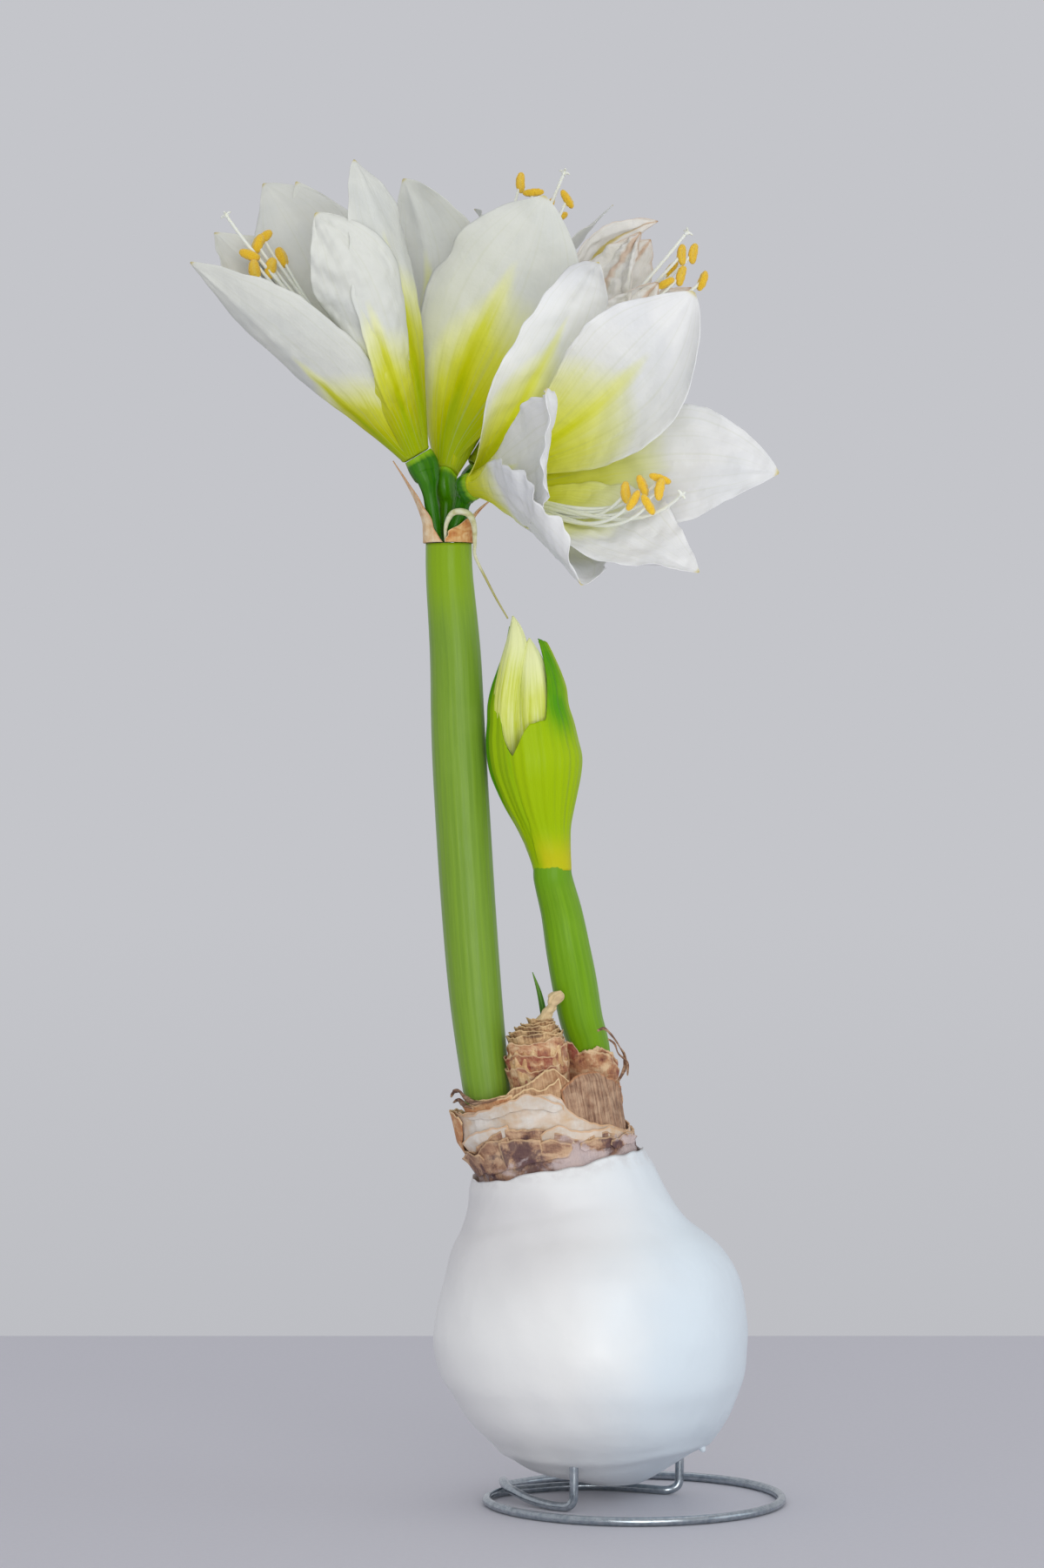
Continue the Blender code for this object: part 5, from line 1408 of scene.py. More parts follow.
    def nose(self, bench: Bench) -> None:
        """Builds the old leaf bases: a folded body, stacked ragged rims and a pale knobbly stub.

        The body's rings follow a table of height, middle and radius, pinched by fine folds. Each
        rim is a short flaring wall whose edge frays.
        """
        angles = circle(110)
        height, x, y, radius = through(NOSE_LEVELS, np.linspace(0, len(NOSE_LEVELS) - 1, 130)).T[..., None]
        folds = 0.04 * np.sin(3 * angles + height / 4) + 0.03 * np.sin(19 * angles + 2 * np.sin(height / 5))
        radius = radius * (1 + folds * smooth(60, 46, height))
        at = join(x + np.cos(angles) * radius, y + np.sin(angles) * radius * self.rim_squash, height)
        knobs = smooth(48, 51, height) * lumps(at, 2.2, 19) + smooth(46, 40, height) * lumps(at, 5.5, 18)
        at = self.frame.out(at + polar(angles, 0.5 * knobs, 0))
        basket = Basket().tube(at, edge=smooth(46.5, 49, height), foot=0)
        share = rows01(16)
        for number, (low, high, middle, foot_r, top_r, fray) in enumerate(NOSE_RIMS):
            outer = number < 3
            high = high + fray * ragged(angles, 90 + number, (3, 7, 13, 23)) + 0.8 * np.cos(angles - 3.6)
            high = high + (2 if outer else 0.4) * ragged(angles, 110 + number, (1, 2, 4))
            level = low + (high - low) * share
            wavy = 1 + 0.05 * ragged(angles, 70 + number, (4, 9, 17)) * share
            reach = (foot_r + (top_r - foot_r) * share**2) * wavy
            walls = [
                self.frame.out(polar(angles, reach - wall, level) * (1, self.rim_squash, 1) + (middle, -8.7, 0))
                for wall in (0, 0.3)
            ]
            edge = share01(1 - (high - level) / 0.9)
            basket.tube(folded(*walls), paint=2 if outer else 1, closed=True, edge=folded(edge, edge))
        bench.put("old_leaf_bases", basket, "old_leaf_base", ["neck_nose"], Dry.NOSE, Dry.RIM, Dry.FLAP)

    def curls(self, bench: Bench) -> None:
        """Builds the curled strips at the right and the left edge.

        Each is a ribbon whose cross-section is a flat oval that turns a little along the way.
        """
        count, around = 80, 20
        turned = circle(around) + 0.05 * np.arange(count)[:, None]
        edge = 0.7 * smooth(0.8, 1, np.abs(2 * rows01(count) - 1))
        for name, node, strips in CURLS:
            basket = Basket()
            for way, flat in strips:
                way = np.array(way)
                path = resample(np.column_stack([self.frame.out(way), way[:, 3]]), count)
                width = path[:, 3:] * (1 + 0.2 * lumps(path[:, None, :3], 3, 9))
                basket.tube(tube_rings(path[:, :3], width * oval(turned, 1.25, flat), around), edge=edge)
            bench.put(name, basket, "dark_tip", [node], Dry.TIP)

    def leaf(self, bench: Bench) -> None:
        """Builds the new leaf: a slim folded blade, a flat oval that narrows to its tip."""
        path = resample(NEW_LEAF, 50)
        rings = tube_rings(path[:, :3], path[:, 3:] * oval(circle(20), 1.1, 0.6), 20, BACKWARD)
        bench.put("new_leaf", Basket().tube(rings, rise=rows01(50) * 0.6), "leaf_green", ["leaf_tip"], Green.LEAF)

    def build(self, bench: Bench) -> None:
        """Builds every piece of the neck."""
        for kind in NECK_SCALES:
            self.scale(bench, kind)
        self.stem_flaps(bench)
        self.nose(bench)
        self.curls(bench)
        self.leaf(bench)


# Stems, stalks and bracts

# Middle x, y, z and radius at points along each stem.
TALL_STEM = (
    (-41.5, -1.8, 99, 4.6), (-43, -2.2, 120, 4.6), (-45.4, -2.6, 127, 6), (-48, -3, 133, 7.5),
    (-49.2, -3, 138.7, 7.8), (-52.7, -2.5, 168, 8.6), (-55.1, -2, 197, 8.9), (-57, -1.5, 226, 9),
    (-58.6, -1, 255, 8.9), (-59.7, -0.5, 284, 8.4), (-61.6, 0, 309, 7.8), (-61.9, 0, 320.7, 7.6),
)
SHORT_STEM = (
    (-13.4, 6, 101, 4.6), (-13, 6, 127, 4.6), (-13, 6, 131, 5.4), (-13.4, 6, 138, 6.6),
    (-14.8, 5.5, 151.5, 7), (-17.6, 3.5, 161.8, 7.4), (-19.8, 1.5, 173.6, 7.7), (-22, -1, 185.3, 7.5),
    (-24.1, -3, 197, 7), (-26.5, -6, 206.5, 6.6), (-27.2, -7, 210, 6.5), (-27.2, -7, 213.4, 6.3),
)


@dataclass
class Stem:
    """A hollow-looking fleshy stem: a tube through a table of points, with faint flat sides."""

    name: str
    node: str
    table: tuple[tuple[float, float, float, float], ...]
    skin: Green
    seed: int
    end_from: float
    around: int = 96
    rows: int = 220

    def build(self, bench: Bench) -> None:
        """Builds the stem: radius × (1 + slight flats + fine ribs) round the table's middle line."""
        path = resample(self.table, self.rows)
        angles = circle(self.around)
        run = rows01(self.rows)
        flats = 0.018 * np.sin(2 * angles + self.seed + 1.5 * run) + 0.01 * np.sin(5 * angles + 2 * run)
        ribs = 0.005 * np.sin(23 * angles + 0.6 * np.sin(9 * run))
        rings = tube_rings(path[:, :3], path[:, 3:] * (1 + flats + ribs), self.around, BACKWARD)
        basket = Basket().tube(rings, rise=smooth(self.end_from, 1, run))
        bench.put(self.name, basket, "stem_green", [self.node], self.skin)


@dataclass(frozen=True)
class Tepal:
    """One petal of a flower: its curve and cross-section, then its frills and colours.

    Each notch in its margin has a place along the petal, a spread and a depth in millimetres,
    negative for the side where v is negative.
    """

    azimuth: float
    tip: Place
    width: float
    lean: float
    curl: float
    cup: float
    cup_tip: float
    twist: float = 0.0
    side: float = 0.0
    skew: float = 0.0
    widest: float = 0.55
    point: float = 1.9
    roll: tuple[float, float] = (0.0, 0.0)
    tail: float = 0.3
    slim: float = 1.0
    green: float = 0.55
    spread: float = 0.3
    lean_green: float = 0.0
    rib: float = 0.12
    ruffle: float = 0.8
    waves: float = 2.6
    phase: float = 0.0
    keel: float = 0.5
    crumple: float = 0.25
    crease: float = 0.0
    notches: tuple[tuple[float, float, float], ...] = ()


@dataclass(frozen=True)
class Bloom:
    """A flower: the bottom of its tube, its axis, its petals and where its stamens end."""

    name: str
    base: Place
    axis: Place
    foot: Place
    egg: Place
    tepals: tuple[Tepal, ...]
    anthers: tuple[tuple[float, float, float, float], ...]
    stigma: Place
    sag: Place
    finish: PetalFinish
    tube_radius: float = 3.6
    swelling: float = 4.3
    ovary: Green = Green.STALK
    anther: float = 1.6
    anther_reach: float = 3.7  # half its length
    thread: float = 0.8
    style: float = 0.85
    knee: float = 0.1
    blade: float = 0.42
    last_row: float = 0.997  # just short of the tip, so that the tip isn't a bare point
    rows: int = 84
    cols: int = 44

    def surface(self, u: Array, v: Array, t: Tepal) -> Array:
        """The middle surface of a petal.

        Its midrib is a cubic Bézier curve from the tube to the tip. Across it runs an arc whose
        half width grows to the widest place and shrinks to the point, and whose bend goes from
        60° at the tube to the cup and to the tip's cup. Rolled margins, frills along the
        margins, a furrow on the midrib and soft crumples are added along the normal.

        Args:
            u: share of the length, 0 at the tube and 1 at the tip.
            v: −1 at one margin to 1 at the other.
            t: the petal.

        Returns:
            Points in millimetres.
        """
        a, e1, e2 = axis_frame(self.axis)
        out0 = spokes(np.radians(t.azimuth), e1, e2)
        tip = np.asarray(t.tip)
        p0 = np.asarray(self.base) + out0 * self.tube_radius
        span = tip - p0
        length = np.linalg.norm(span)
        radial = unit(span - a * (span @ a))
        lean, curl = np.radians(t.lean), np.radians(t.curl)
        start = spokes(lean, a, out0)
        finish = unit(spokes(curl, a, radial) + np.sin(np.radians(t.side)) * np.cross(a, radial))
        p1, p2 = p0 + start * length * 0.36, tip - finish * length * t.tail
        s = u[..., None]
        middle = bezier(p0, p1, p2, tip, s)
        along = unit((1 - s) ** 2 * (p1 - p0) + 2 * (1 - s) * s * (p2 - p1) + s**2 * (tip - p2))
        out = unit((1 - s) * out0 + s * spokes(curl * 0.6, radial, -a))
        normal = unit(out - along * np.sum(out * along, -1, keepdims=True))
        side = np.cross(along, normal)
        twist = np.radians(t.twist) * u
        turned, side = spokes(twist, normal, side), spokes(twist, side, -normal)
        start_w = self.tube_radius * np.pi / 3 * 1.02
        fall = share01((u - t.widest) / (1 - t.widest))
        w = start_w + (t.width / 2 - start_w) * smooth(0, t.widest, u) ** t.slim
        w = w * share01(1 - fall**t.point) ** 0.95 * (1 + t.skew * v * smooth(0, 0.3, u))
        beat = np.where(v > 0, t.phase, t.phase + 2.3) + t.azimuth
        waves = ((0.012, 19, 1), (0.008, 43, 2), (0.004, 97, 1))
        wave = sum(high * np.sin(often * u + times * beat) for high, often, times in waves)
        w = w * (1 + wave * np.abs(v) ** 3 * smooth(0.2, 0.4, u))
        for place, spread, depth in t.notches:
            w = w - abs(depth) * share01(v * np.sign(depth)) ** 3 * bell((u - place) / spread)
        late = smooth(0.5, 1, u)
        cup = 60 * smooth(0.35, 0, u) + smooth(0, 0.35, u) * t.cup * (1 - late) + t.cup_tip * late
        beta = np.radians(np.where(np.abs(cup) < 0.5, 0.5, cup))
        across, inward = w * np.sin(beta * v) / beta, w * (1 - np.cos(beta * v)) / beta
        roll = np.where(v < 0, *t.roll) * smooth(0.12, 0.5, u) * smooth(1, 0.85, u)
        roll = roll * share01(np.abs(v) - 0.3) ** 1.6
        across = across * (1 - 0.45 * np.clip(np.abs(roll) / np.maximum(w, 1e-6), 0, 0.6))
        margin = np.where(v > 0, 0, 2.1)
        body = smooth(0.25, 0.6, u) * smooth(1, 0.9, u)
        turns = 2 * np.pi * t.waves * u + margin
        frill = np.abs(v) ** 2.2 * np.sin(turns + t.phase)
        frill = frill + 0.45 * np.abs(v) ** 7 * np.sin(3.3 * (turns - margin) + margin + beat)
        furrow = t.keel * bell(v / 0.13) * smooth(0.1, 0.4, u) * smooth(1, 0.9, u)
        lift = roll - inward + t.ruffle * body * frill + furrow
        shape = middle + side * across[..., None] + turned * lift[..., None]
        seed = int(abs(t.azimuth))
        soft = lumps(shape, 11, seed + 5) + 0.5 * lumps(shape, 5.5, seed + 6)
        soft = soft + 0.3 * t.crumple * lumps(shape, 2.6, seed + 7)
        fold = np.abs(np.sin(3 * u * np.pi + 4 * v + t.phase)) ** 0.6 - 0.6
        amount = t.crumple * soft + t.crease * fold * smooth(0.2, 0.45, u)
        return shape + turned * (amount * smooth(0.08, 0.3, u) * smooth(1, 0.93, u))[..., None]

    def petals(self, bench: Bench) -> None:
        """Builds the six petals and the short tube as closed thin sheets in one piece."""
        share = np.linspace(0, 1, self.rows)
        steps = (0.5 * share + 0.25 * (1 - np.cos(np.pi * share))) * self.last_row
        u, v = np.meshgrid(steps, np.linspace(-1, 1, self.cols), indexing="ij")
        basket = Basket()
        for t in self.tepals:
            wall = self.blade * (1 - 0.5 * np.abs(v) ** 4) * (1 - 0.3 * smooth(0.8, 1, u))
            reach = t.green * (1 - t.spread * np.abs(v) ** 1.6 + t.lean_green * v) + t.rib * bell(v / 0.1)
            green = share01((reach - u) / (0.8 * t.green + 0.02))
            dry = share01(0.6 * np.abs(v) ** 6 + 0.9 * bell(v / 0.16) * smooth(0.3, 0.6, u))
            layers = {"green": green, "tip": smooth(0.982, 0.998, u) * 0.85}
            layers["dry"] = share01(dry + 0.5 * smooth(0.85, 1, u))
            basket.sheet(self.surface(u, v, t), wall, join((v + 1) / 2, u), **layers)
        self.tube_wall(basket)
        bench.put(f"petals_{self.name}", basket, "petal", [f"bloom_{self.name}"], self.finish)

    def tube_wall(self, basket: Basket) -> None:
        """Adds the short tube that the petals grow from: a ring wall, rounded at its lower end."""
        a, e1, e2 = axis_frame(self.axis)
        outline = ((-0.25, -0.3), (0.45, 0.2), (0.6, 1.2), (0.55, 3.4), (-0.3, 3.4), (-0.6, 1.2), (-0.6, -0.1))
        off, along = np.transpose(outline)[..., None, None]
        rings = np.asarray(self.base) + a * along + spokes(circle(48), e1, e2) * (self.tube_radius + off)
        basket.tube(rings, closed=True, green=1, tip=0, dry=0)

    def stamens(self, bench: Bench) -> None:
        """Builds six threads with pollen heads, and the style with its three-lobed end."""
        a, e1, e2 = axis_frame(self.axis)
        base, sag = np.asarray(self.base), np.asarray(self.sag)
        basket = Basket()
        rows, around = 72, 14
        share = rows01(rows)
        for i, (*end, heading) in enumerate((*self.anthers, (*self.stigma, None))):
            is_style = heading is None
            start = base + a * 0.6
            if not is_style:
                start = start + spokes(np.radians(30 + 60 * i), e1, e2) * 1.55
            reach = np.linalg.norm(end - start)
            knee = start + a * reach * 0.35 + sag * self.knee
            last = end - unit(end - base) * reach * 0.3 + sag
            path = bezier(start, knee, last, np.array(end), share)
            thick = (self.style if is_style else self.thread) * (1 - 0.35 * share)
            basket.tube(tube_rings(path, thick, around), rise=0.9 * share01(1 - share / 0.55))
            if is_style:
                self.stigma_lobes(basket, path[-1], unit(path[-1] - path[-4]))
            else:
                tilt = np.radians(heading)
                self.head(basket, path[-1], unit((np.cos(tilt), 0.15, np.sin(tilt))), 17 * i + 3)
        nodes = [f"stamens_{self.name}"]
        bench.put(f"threads_{self.name}", basket, "stamen", nodes, ThreadFinish(), PollenFinish())

    def head(self, basket: Basket, at: Array, way: Array, seed: int) -> None:
        """Adds a pollen head: a bent bean with a furrow along it.

        Args:
            basket: the flower's shells.
            at: the head's middle.
            way: its long direction.
            seed: makes its lumps its own.
        """
        count = 26
        t = np.linspace(-0.985, 0.985, count)[:, None]
        a, e1, e2 = axis_frame(way)
        path = at + a * (t * self.anther_reach) + e1 * (0.6 * t**2)
        girth = np.sqrt(1 - t**2) ** 0.8
        angles = circle(count)
        furrow = 1
        for depth, place, width in ((0.3, np.pi / 2, 0.42), (0.22, -np.pi / 2, 0.4)):
            furrow = furrow - depth * bell(((angles - place + np.pi) % (2 * np.pi) - np.pi) / width)
        rings = tube_rings(path, self.anther * girth * furrow, count, e2)
        grain = 0.13 * lumps(rings, 1.3, seed) * girth
        rings = rings + unit(rings - path[:, None]) * grain[..., None]
        basket.tube(rings, paint=1, rise=share01((1 - furrow) / 0.3) * 0.8)

    def stigma_lobes(self, basket: Basket, at: Array, way: Array) -> None:
        """Adds the three short lobes at the end of the style, curling outwards."""
        a, e1, e2 = axis_frame(way)
        share = rows01(14)
        for turn in np.radians((20, 140, 260)):
            out = spokes(turn, e1, e2)
            path = bezier(at - a * 0.6, at + a * 0.8, at + a * 1.4 + out, at + a * 1.1 + out * 2.2, share)
            basket.tube(tube_rings(path, 0.62 * (1 - 0.6 * share**2), 12), rise=0)

    def stalk(self, bench: Bench) -> None:
        """Builds the stalk and the three-sided swelling under the flower.

        The way is straight up, bends towards the swelling and ends along the flower's axis. The
        radius follows a table, and the swelling is lobed as 1 + 0.09·cos 3θ.
        """
        a = unit(self.axis)
        up = np.array((0, 0, 1))
        foot, egg = np.array(self.foot), np.array(self.egg)
        top = np.array(self.base) - a * 0.55
        lean = unit(unit(top - egg) + up)
        way = bezier(foot + up, foot + up * 5, egg - lean * 4, egg, rows01(5))
        high = top - a * 2.4
        upper = bezier(egg, egg + unit(high - egg) * 2.4, high - a * 1.4, high, rows01(4))
        points = np.concatenate([[foot], way, upper[1:], [top]])
        swell = self.swelling * np.array((0.7, 0.91, 1, 1, 0.94))
        path = resample(np.column_stack([points, (2.2, 2.2, 2.3, 2.4, 2.5, *swell)]), 110)
        angles = circle(60)
        lobed = 0.09 * np.cos(3 * angles) * smooth(2.6, 4, path[:, 3:]) + 0.012 * np.sin(17 * angles)
        rings = tube_rings(path[:, :3], path[:, 3:] * (1 + lobed), 60)
        basket = Basket().tube(rings, rise=smooth(0.86, 1, rows01(110)) * 0.8)
        nodes = [f"stalk_{self.name}"]
        bench.put(f"flower_stalk_{self.name}", basket, "stalk_green", nodes, self.ovary)

    def build(self, bench: Bench) -> None:
        """Builds the stalk, the petals and the stamens."""
        self.stalk(bench)
        self.petals(bench)
        self.stamens(bench)


WILTED = PetalFinish(
    "wilted_petal", white=(246, 243, 236), pale=(238, 236, 190), lime=(214, 216, 96),
    tip=(196, 150, 92), dry=0.6, dry_colour=(222, 184, 146),
)
# A darker, creamier petal white: painted shade on the backlit left and back blooms.
SHADED_WHITE = (237, 238, 231)

BLOOMS = (
    Bloom(
        name="left",
        base=(-72.7, -4, 350.1), axis=(-0.5, -0.05, 0.86),
        foot=(-66.2, -1.8, 321.3), egg=(-68.8, -5.2, 341.4),
        tepals=(
            Tepal(-63, (-146.5, -27, 411.9), 40.1, 21, 13, 42, 35, 13, -17, 0.11, 0.43, 2.1, (-0.9, 1.2), 0.36,
                  green=0.42, ruffle=0.5),
            Tepal(-117, (-141.4, 15.2, 426.8), 38.9, 20, 30, -5, 37, 14, 4, 0.14, 0.66, 2.1, (-1.5, 0.7), 0.32,
                  green=0.35),
            Tepal(179, (-126, 32.5, 445.6), 41, 16, 40, 77, -13, 5, 24, 0.16, 0.56, 2, (1.9, -1.4), 0.29,
                  green=0.4),
            Tepal(109, (-114.4, 27, 445.7), 34, 17, 3, 0, 6, 27, 7, 0.19, 0.6, 1.7, (3, 0.2), 0.27, 0.4,
                  green=0.4),
            Tepal(5, (-104.9, -38, 426.7), 37, 36, -17, 80, 1, -30, -7, -0.04, 0.62, 1.9, (4, -3.4), 0.32,
                  green=0.5, spread=0.15, rib=0.12, crumple=1, crease=0.8),
            Tepal(53, (-92.6, -25.2, 445.9), 50.1, 28, -5, 41, 19, -9, 25, 0.11, 0.42, 2.3, (4.1, 2.1), 0.29, 0.62,
                  green=0.6, spread=0.2, ruffle=0.6),
        ),
        anthers=(
            (-125.9, 2, 421.1, 70), (-128.2, -4, 416.9, 160), (-126.5, -6, 411.5, 100),
            (-121.3, -3, 412.6, 80), (-118, 6, 417.2, 110), (-124.4, 8, 424, 40),
        ),
        stigma=(-136, 0, 430.2), sag=(-4, -6, 1),
        anther=2,
        tube_radius=4.7,
        swelling=5.2,
        # The left bloom's petals are painted in the darker white as painted shade, with its own lime and green.
        finish=PetalFinish("white_petal_left_painted_shade", white=SHADED_WHITE, lime=(228, 230, 74), green=(202, 206, 4)),
    ),
    Bloom(
        name="back",
        base=(-63, 4, 344.8), axis=(0.19, 0.47, 0.86),
        foot=(-63.4, 4.4, 321.3), egg=(-62.6, 3.4, 335.4),
        tepals=(
            Tepal(96, (-29.8, -16.9, 435.2), 57.2, 22, 51, 25, 13, -1, -2, 0.08, 0.53, 2, (-2.4, -1.7), 0.28,
                  0.62, green=0.62, spread=0.42, lean_green=0.3, rib=0.12, ruffle=1.1,
                  notches=((0.62, 0.05, -2.6), (0.5, 0.06, 1.2))),
            Tepal(47, (-77.9, 25.5, 446.4), 51.8, 17, 42, 41, 0, 7, -15, 0.05, 0.56, 1.7, (2.1, 3.4), 0.27, 0.62,
                  green=0.6, spread=0.35),
            Tepal(-20, (-54, 62, 440.7), 42, 20, 45, 35, 10, green=0.45, phase=1),
            Tepal(-68, (-45.1, 98, 438.6), 44, 20, 45, 35, 10, green=0.45, phase=2),
            Tepal(-112, (-24.9, 96, 439.5), 40, 20, 45, 35, 10, green=0.45, phase=3),
            Tepal(200, (-5.3, 68, 443), 34, 16, 30, 35, 10, 14, slim=0.32, green=0.6, phase=4),
        ),
        anthers=(
            (-37.9, 46, 447.7, 90), (-33.4, 38, 443.3, 5), (-21.7, 42, 441.5, 120),
            (-28.2, 56, 440.5, 60), (-37.3, 58, 438.7, 100), (-24.6, 58, 437, 30),
        ),
        stigma=(-22.9, 48, 451), sag=(0, 2, 1),
        tube_radius=3.9,
        ovary=Green.OVARY,
        # The back bloom's petals are painted in the darker white as painted shade.
        finish=PetalFinish("white_petal_back_painted_shade", white=SHADED_WHITE),
    ),
    Bloom(
        name="wilted",
        base=(-51.4, 14, 346.4), axis=(0.64, 0.12, 0.76),
        foot=(-58, 1.6, 321.3), egg=(-56.5, 11.8, 339.2),
        tepals=(
            Tepal(90, (9.3, 28.2, 432.2), 26.2, 8, -29, 32, -12, -37, -31, -0.01, 0.48, 1.5, (1.6, -0.1), 0.28, 2.2,
                  green=0.7, rib=0.4, crumple=1.1, crease=0.7),
            Tepal(150, (2.8, 8, 426.2), 34, 11, 10, 50, -30, 10, roll=(-4, 5), slim=1.6, crumple=1.9,
                  crease=1.8),
            Tepal(-150, (8.6, 6, 409), 32, 11, 0, 60, -20, roll=(5, 0), slim=1.6, crumple=1.9,
                  crease=1.8),
            Tepal(-88, (19.6, 26, 398.8), 34, 11, 20, 35, 10, slim=1.6, crumple=1.5, crease=1.2),
            Tepal(-28, (21.5, 52, 412.3), 34, 11, 25, 35, 10, slim=1.6, crumple=1.5, crease=1.2),
            Tepal(34, (7.4, 54, 429.2), 34, 10, 25, 35, 10, slim=1.6, crumple=1.5, crease=1.2),
        ),
        anthers=(
            (21.5, 42, 422.8, 80), (17.4, 37, 421.8, 90), (16.9, 31, 413.9, 75),
            (11.5, 29, 411, 30), (24.7, 38, 413, 70), (13.9, 42, 417.4, 50),
        ),
        stigma=(18.9, 36, 428.9), sag=(4, 0, 3),
        tube_radius=5.2,
        finish=WILTED,
    ),
    Bloom(
        name="right",
        base=(-52.4, -13.6, 339.6), axis=(0.57, -0.8, 0.17),
        foot=(-60.2, -3.6, 321.3), egg=(-56.2, -6.8, 336.4),
        tepals=(
            Tepal(95, (-12.7, -60, 408), 39, 19, 5, 20, -7, -13, 21, -0.03, 0.42, 1.5, (-4.6, 6.8), 0.25, 0.6,
                  green=0.56, spread=0.5, ruffle=1, notches=((0.5, 0.05, 1.6), (0.7, 0.05, -1.4))),
            Tepal(30, (17.6, -70.5, 397.6), 49.1, 30, 59, 42, 23, -39, -1, -0.05, 0.66, 2.1, (-6.6, 4.5), 0.34,
                  green=0.64, spread=0.15),
            Tepal(-24, (44.3, -80, 338.7), 46.6, 28, 40, 7, 14, 8, -4, 0.04, 0.56, 2, (2.3, 2.7), 0.31,
                  green=0.62, spread=0.1, rib=0.02, crumple=0.5),
            Tepal(-66, (18.5, -92, 306.7), 39.1, 22, 37, 32, 20, 19, 13, 0.04, 0.54, 2, (0.2, -1.1), 0.33,
                  green=0.62, spread=0.1, rib=0.02, ruffle=1.4, crumple=0.6),
            Tepal(-130, (-18.7, -90.9, 302.9), 47.2, 21, 39, 31, 49, -20, -6, -0.13, 0.51, 2.2, (-1.9, -7.3), 0.25,
                  green=0.42, spread=0.2, rib=0.05, ruffle=1.6, waves=4, crumple=0.5),
            Tepal(185, (-30, -104.2, 363.6), 42.7, 5, 59, 6, 14, -13, -31, 0.06, 0.54, 2.1, (8.4, 0.3), 0.32,
                  green=0.25, ruffle=1.4, waves=4),
        ),
        anthers=(
            (-4.2, -66, 333.5, 95), (1.3, -68, 335.6, 110), (6.8, -70, 337.7, 160),
            (6.4, -74, 334.1, 80), (-2, -78, 330.3, 60), (2.7, -80, 328.8, 120),
        ),
        stigma=(12.8, -82, 331.4), sag=(2, -6, -19),
        knee=0.55,
        tube_radius=4.2,
        swelling=4.7,
        # The right bloom's petals are painted whiter, with brighter greens, as painted light.
        finish=PetalFinish(
            "white_petal_right_painted_light", white=(250, 250, 249), lime=(246, 247, 130), green=(238, 240, 58), deep=(220, 226, 24)
        ),
    ),
)


@dataclass(frozen=True)
class Bract:
    """One dry bract at the top of the tall stem.

    Its half width at share t of its height is the greater of wide·(1 − (t / full)^power) and
    slim·(1 − t) degrees, and its back half is that times back. Its radius is the collar's up to
    the share bend and then grows to the tip by reach.
    """

    name: str
    node: str
    centre: float
    rise: float
    wide: float
    full: float
    power: float
    slim: float
    back: float
    bend: float
    reach: float
    skin: Dry
    seed: int


@dataclass
class StemTop:
    """The dry bracts and the thin hanging strip at the top of the tall stem."""

    top: Place = TALL_STEM[-1][:3]
    collar: float = 8.35
    wall: float = 0.4
    bracts: tuple[Bract, ...] = (
        Bract("left_bract", "bract_left", 180, 27.5, 78, 1, 0.75, 6, 1, 0.2, 10.2, Dry.BRACT, 1),
        Bract("right_bract", "bract_right", 0, 15, 98, 0.68, 2, 70, 0.45, 0.5, 6.4, Dry.FOLD, 2),
    )
    strip: tuple[tuple[float, ...], ...] = (
        (-62.8, -6.2, 321.3, 0.6), (-62.6, -7.6, 326.4, 1), (-60.6, -9.2, 330.2, 1.4),
        (-57.6, -10.2, 330.9, 1.6), (-54.7, -10.4, 329.6, 1.6), (-53.2, -10.2, 326, 1.3),
        (-53, -9.8, 320.2, 0.95), (-52.8, -9.2, 315.9, 0.75), (-48.9, -9.4, 307.8, 0.6),
        (-45.6, -11.5, 301.4, 0.5), (-42, -13.8, 295.2, 0.4),
    )

    def bract(self, bench: Bench, kind: Bract) -> None:
        """Builds a bract: a half collar that narrows to a point, a little ragged along its sides."""
        t, w = np.meshgrid(np.linspace(0, 1, 70), np.linspace(-1, 1, 70), indexing="ij")
        half = kind.wide * (1 - share01(t / kind.full) ** kind.power)
        half = np.maximum(half, kind.slim * (1 - t) + 0.6)
        half = half * (1 + 0.05 * np.sin(23 * t + kind.seed) * smooth(0.05, 0.2, t))
        turn = np.radians(kind.centre + half * np.where(w > 0, kind.back * w, w))
        radius = self.collar + kind.reach * share01((t - kind.bend) / (1 - kind.bend)) ** 1.4
        radius = radius + 0.12 * np.sin(14 * turn + kind.seed) * smooth(0, 0.2, t) * (1 - t)
        height = 0.2 + kind.rise * t
        span = np.radians(half) * radius
        edge = share01(1 - (1 - np.abs(w)) * span / 0.9)
        grid = np.array(self.top) + polar(turn, radius, height)
        basket = Basket().sheet(grid, self.wall, join(w * span, height), edge=edge, foot=1 - t)
        bench.put(kind.name, basket, "dry_bract", [kind.node], kind.skin)

    def hanging_strip(self, bench: Bench) -> None:
        """Builds the bracteole: a thin ribbon that arches over and hangs down beside the stem."""
        path = resample(self.strip, 120)
        rings = tube_rings(path[:, :3], path[:, 3:] * oval(circle(20), 0.7, 0.8), 20, BACKWARD)
        drier = smooth(50, 100, np.arange(120)[:, None])
        basket = Basket().tube(rings, edge=drier, foot=0)
        bench.put("hanging_strip", basket, "bracteole", ["bracteole"], Dry.BRACTEOLE)

    def build(self, bench: Bench) -> None:
        """Builds the bracts and the strip."""
        for kind in self.bracts:
            self.bract(bench, kind)
        self.hanging_strip(bench)


# The bud

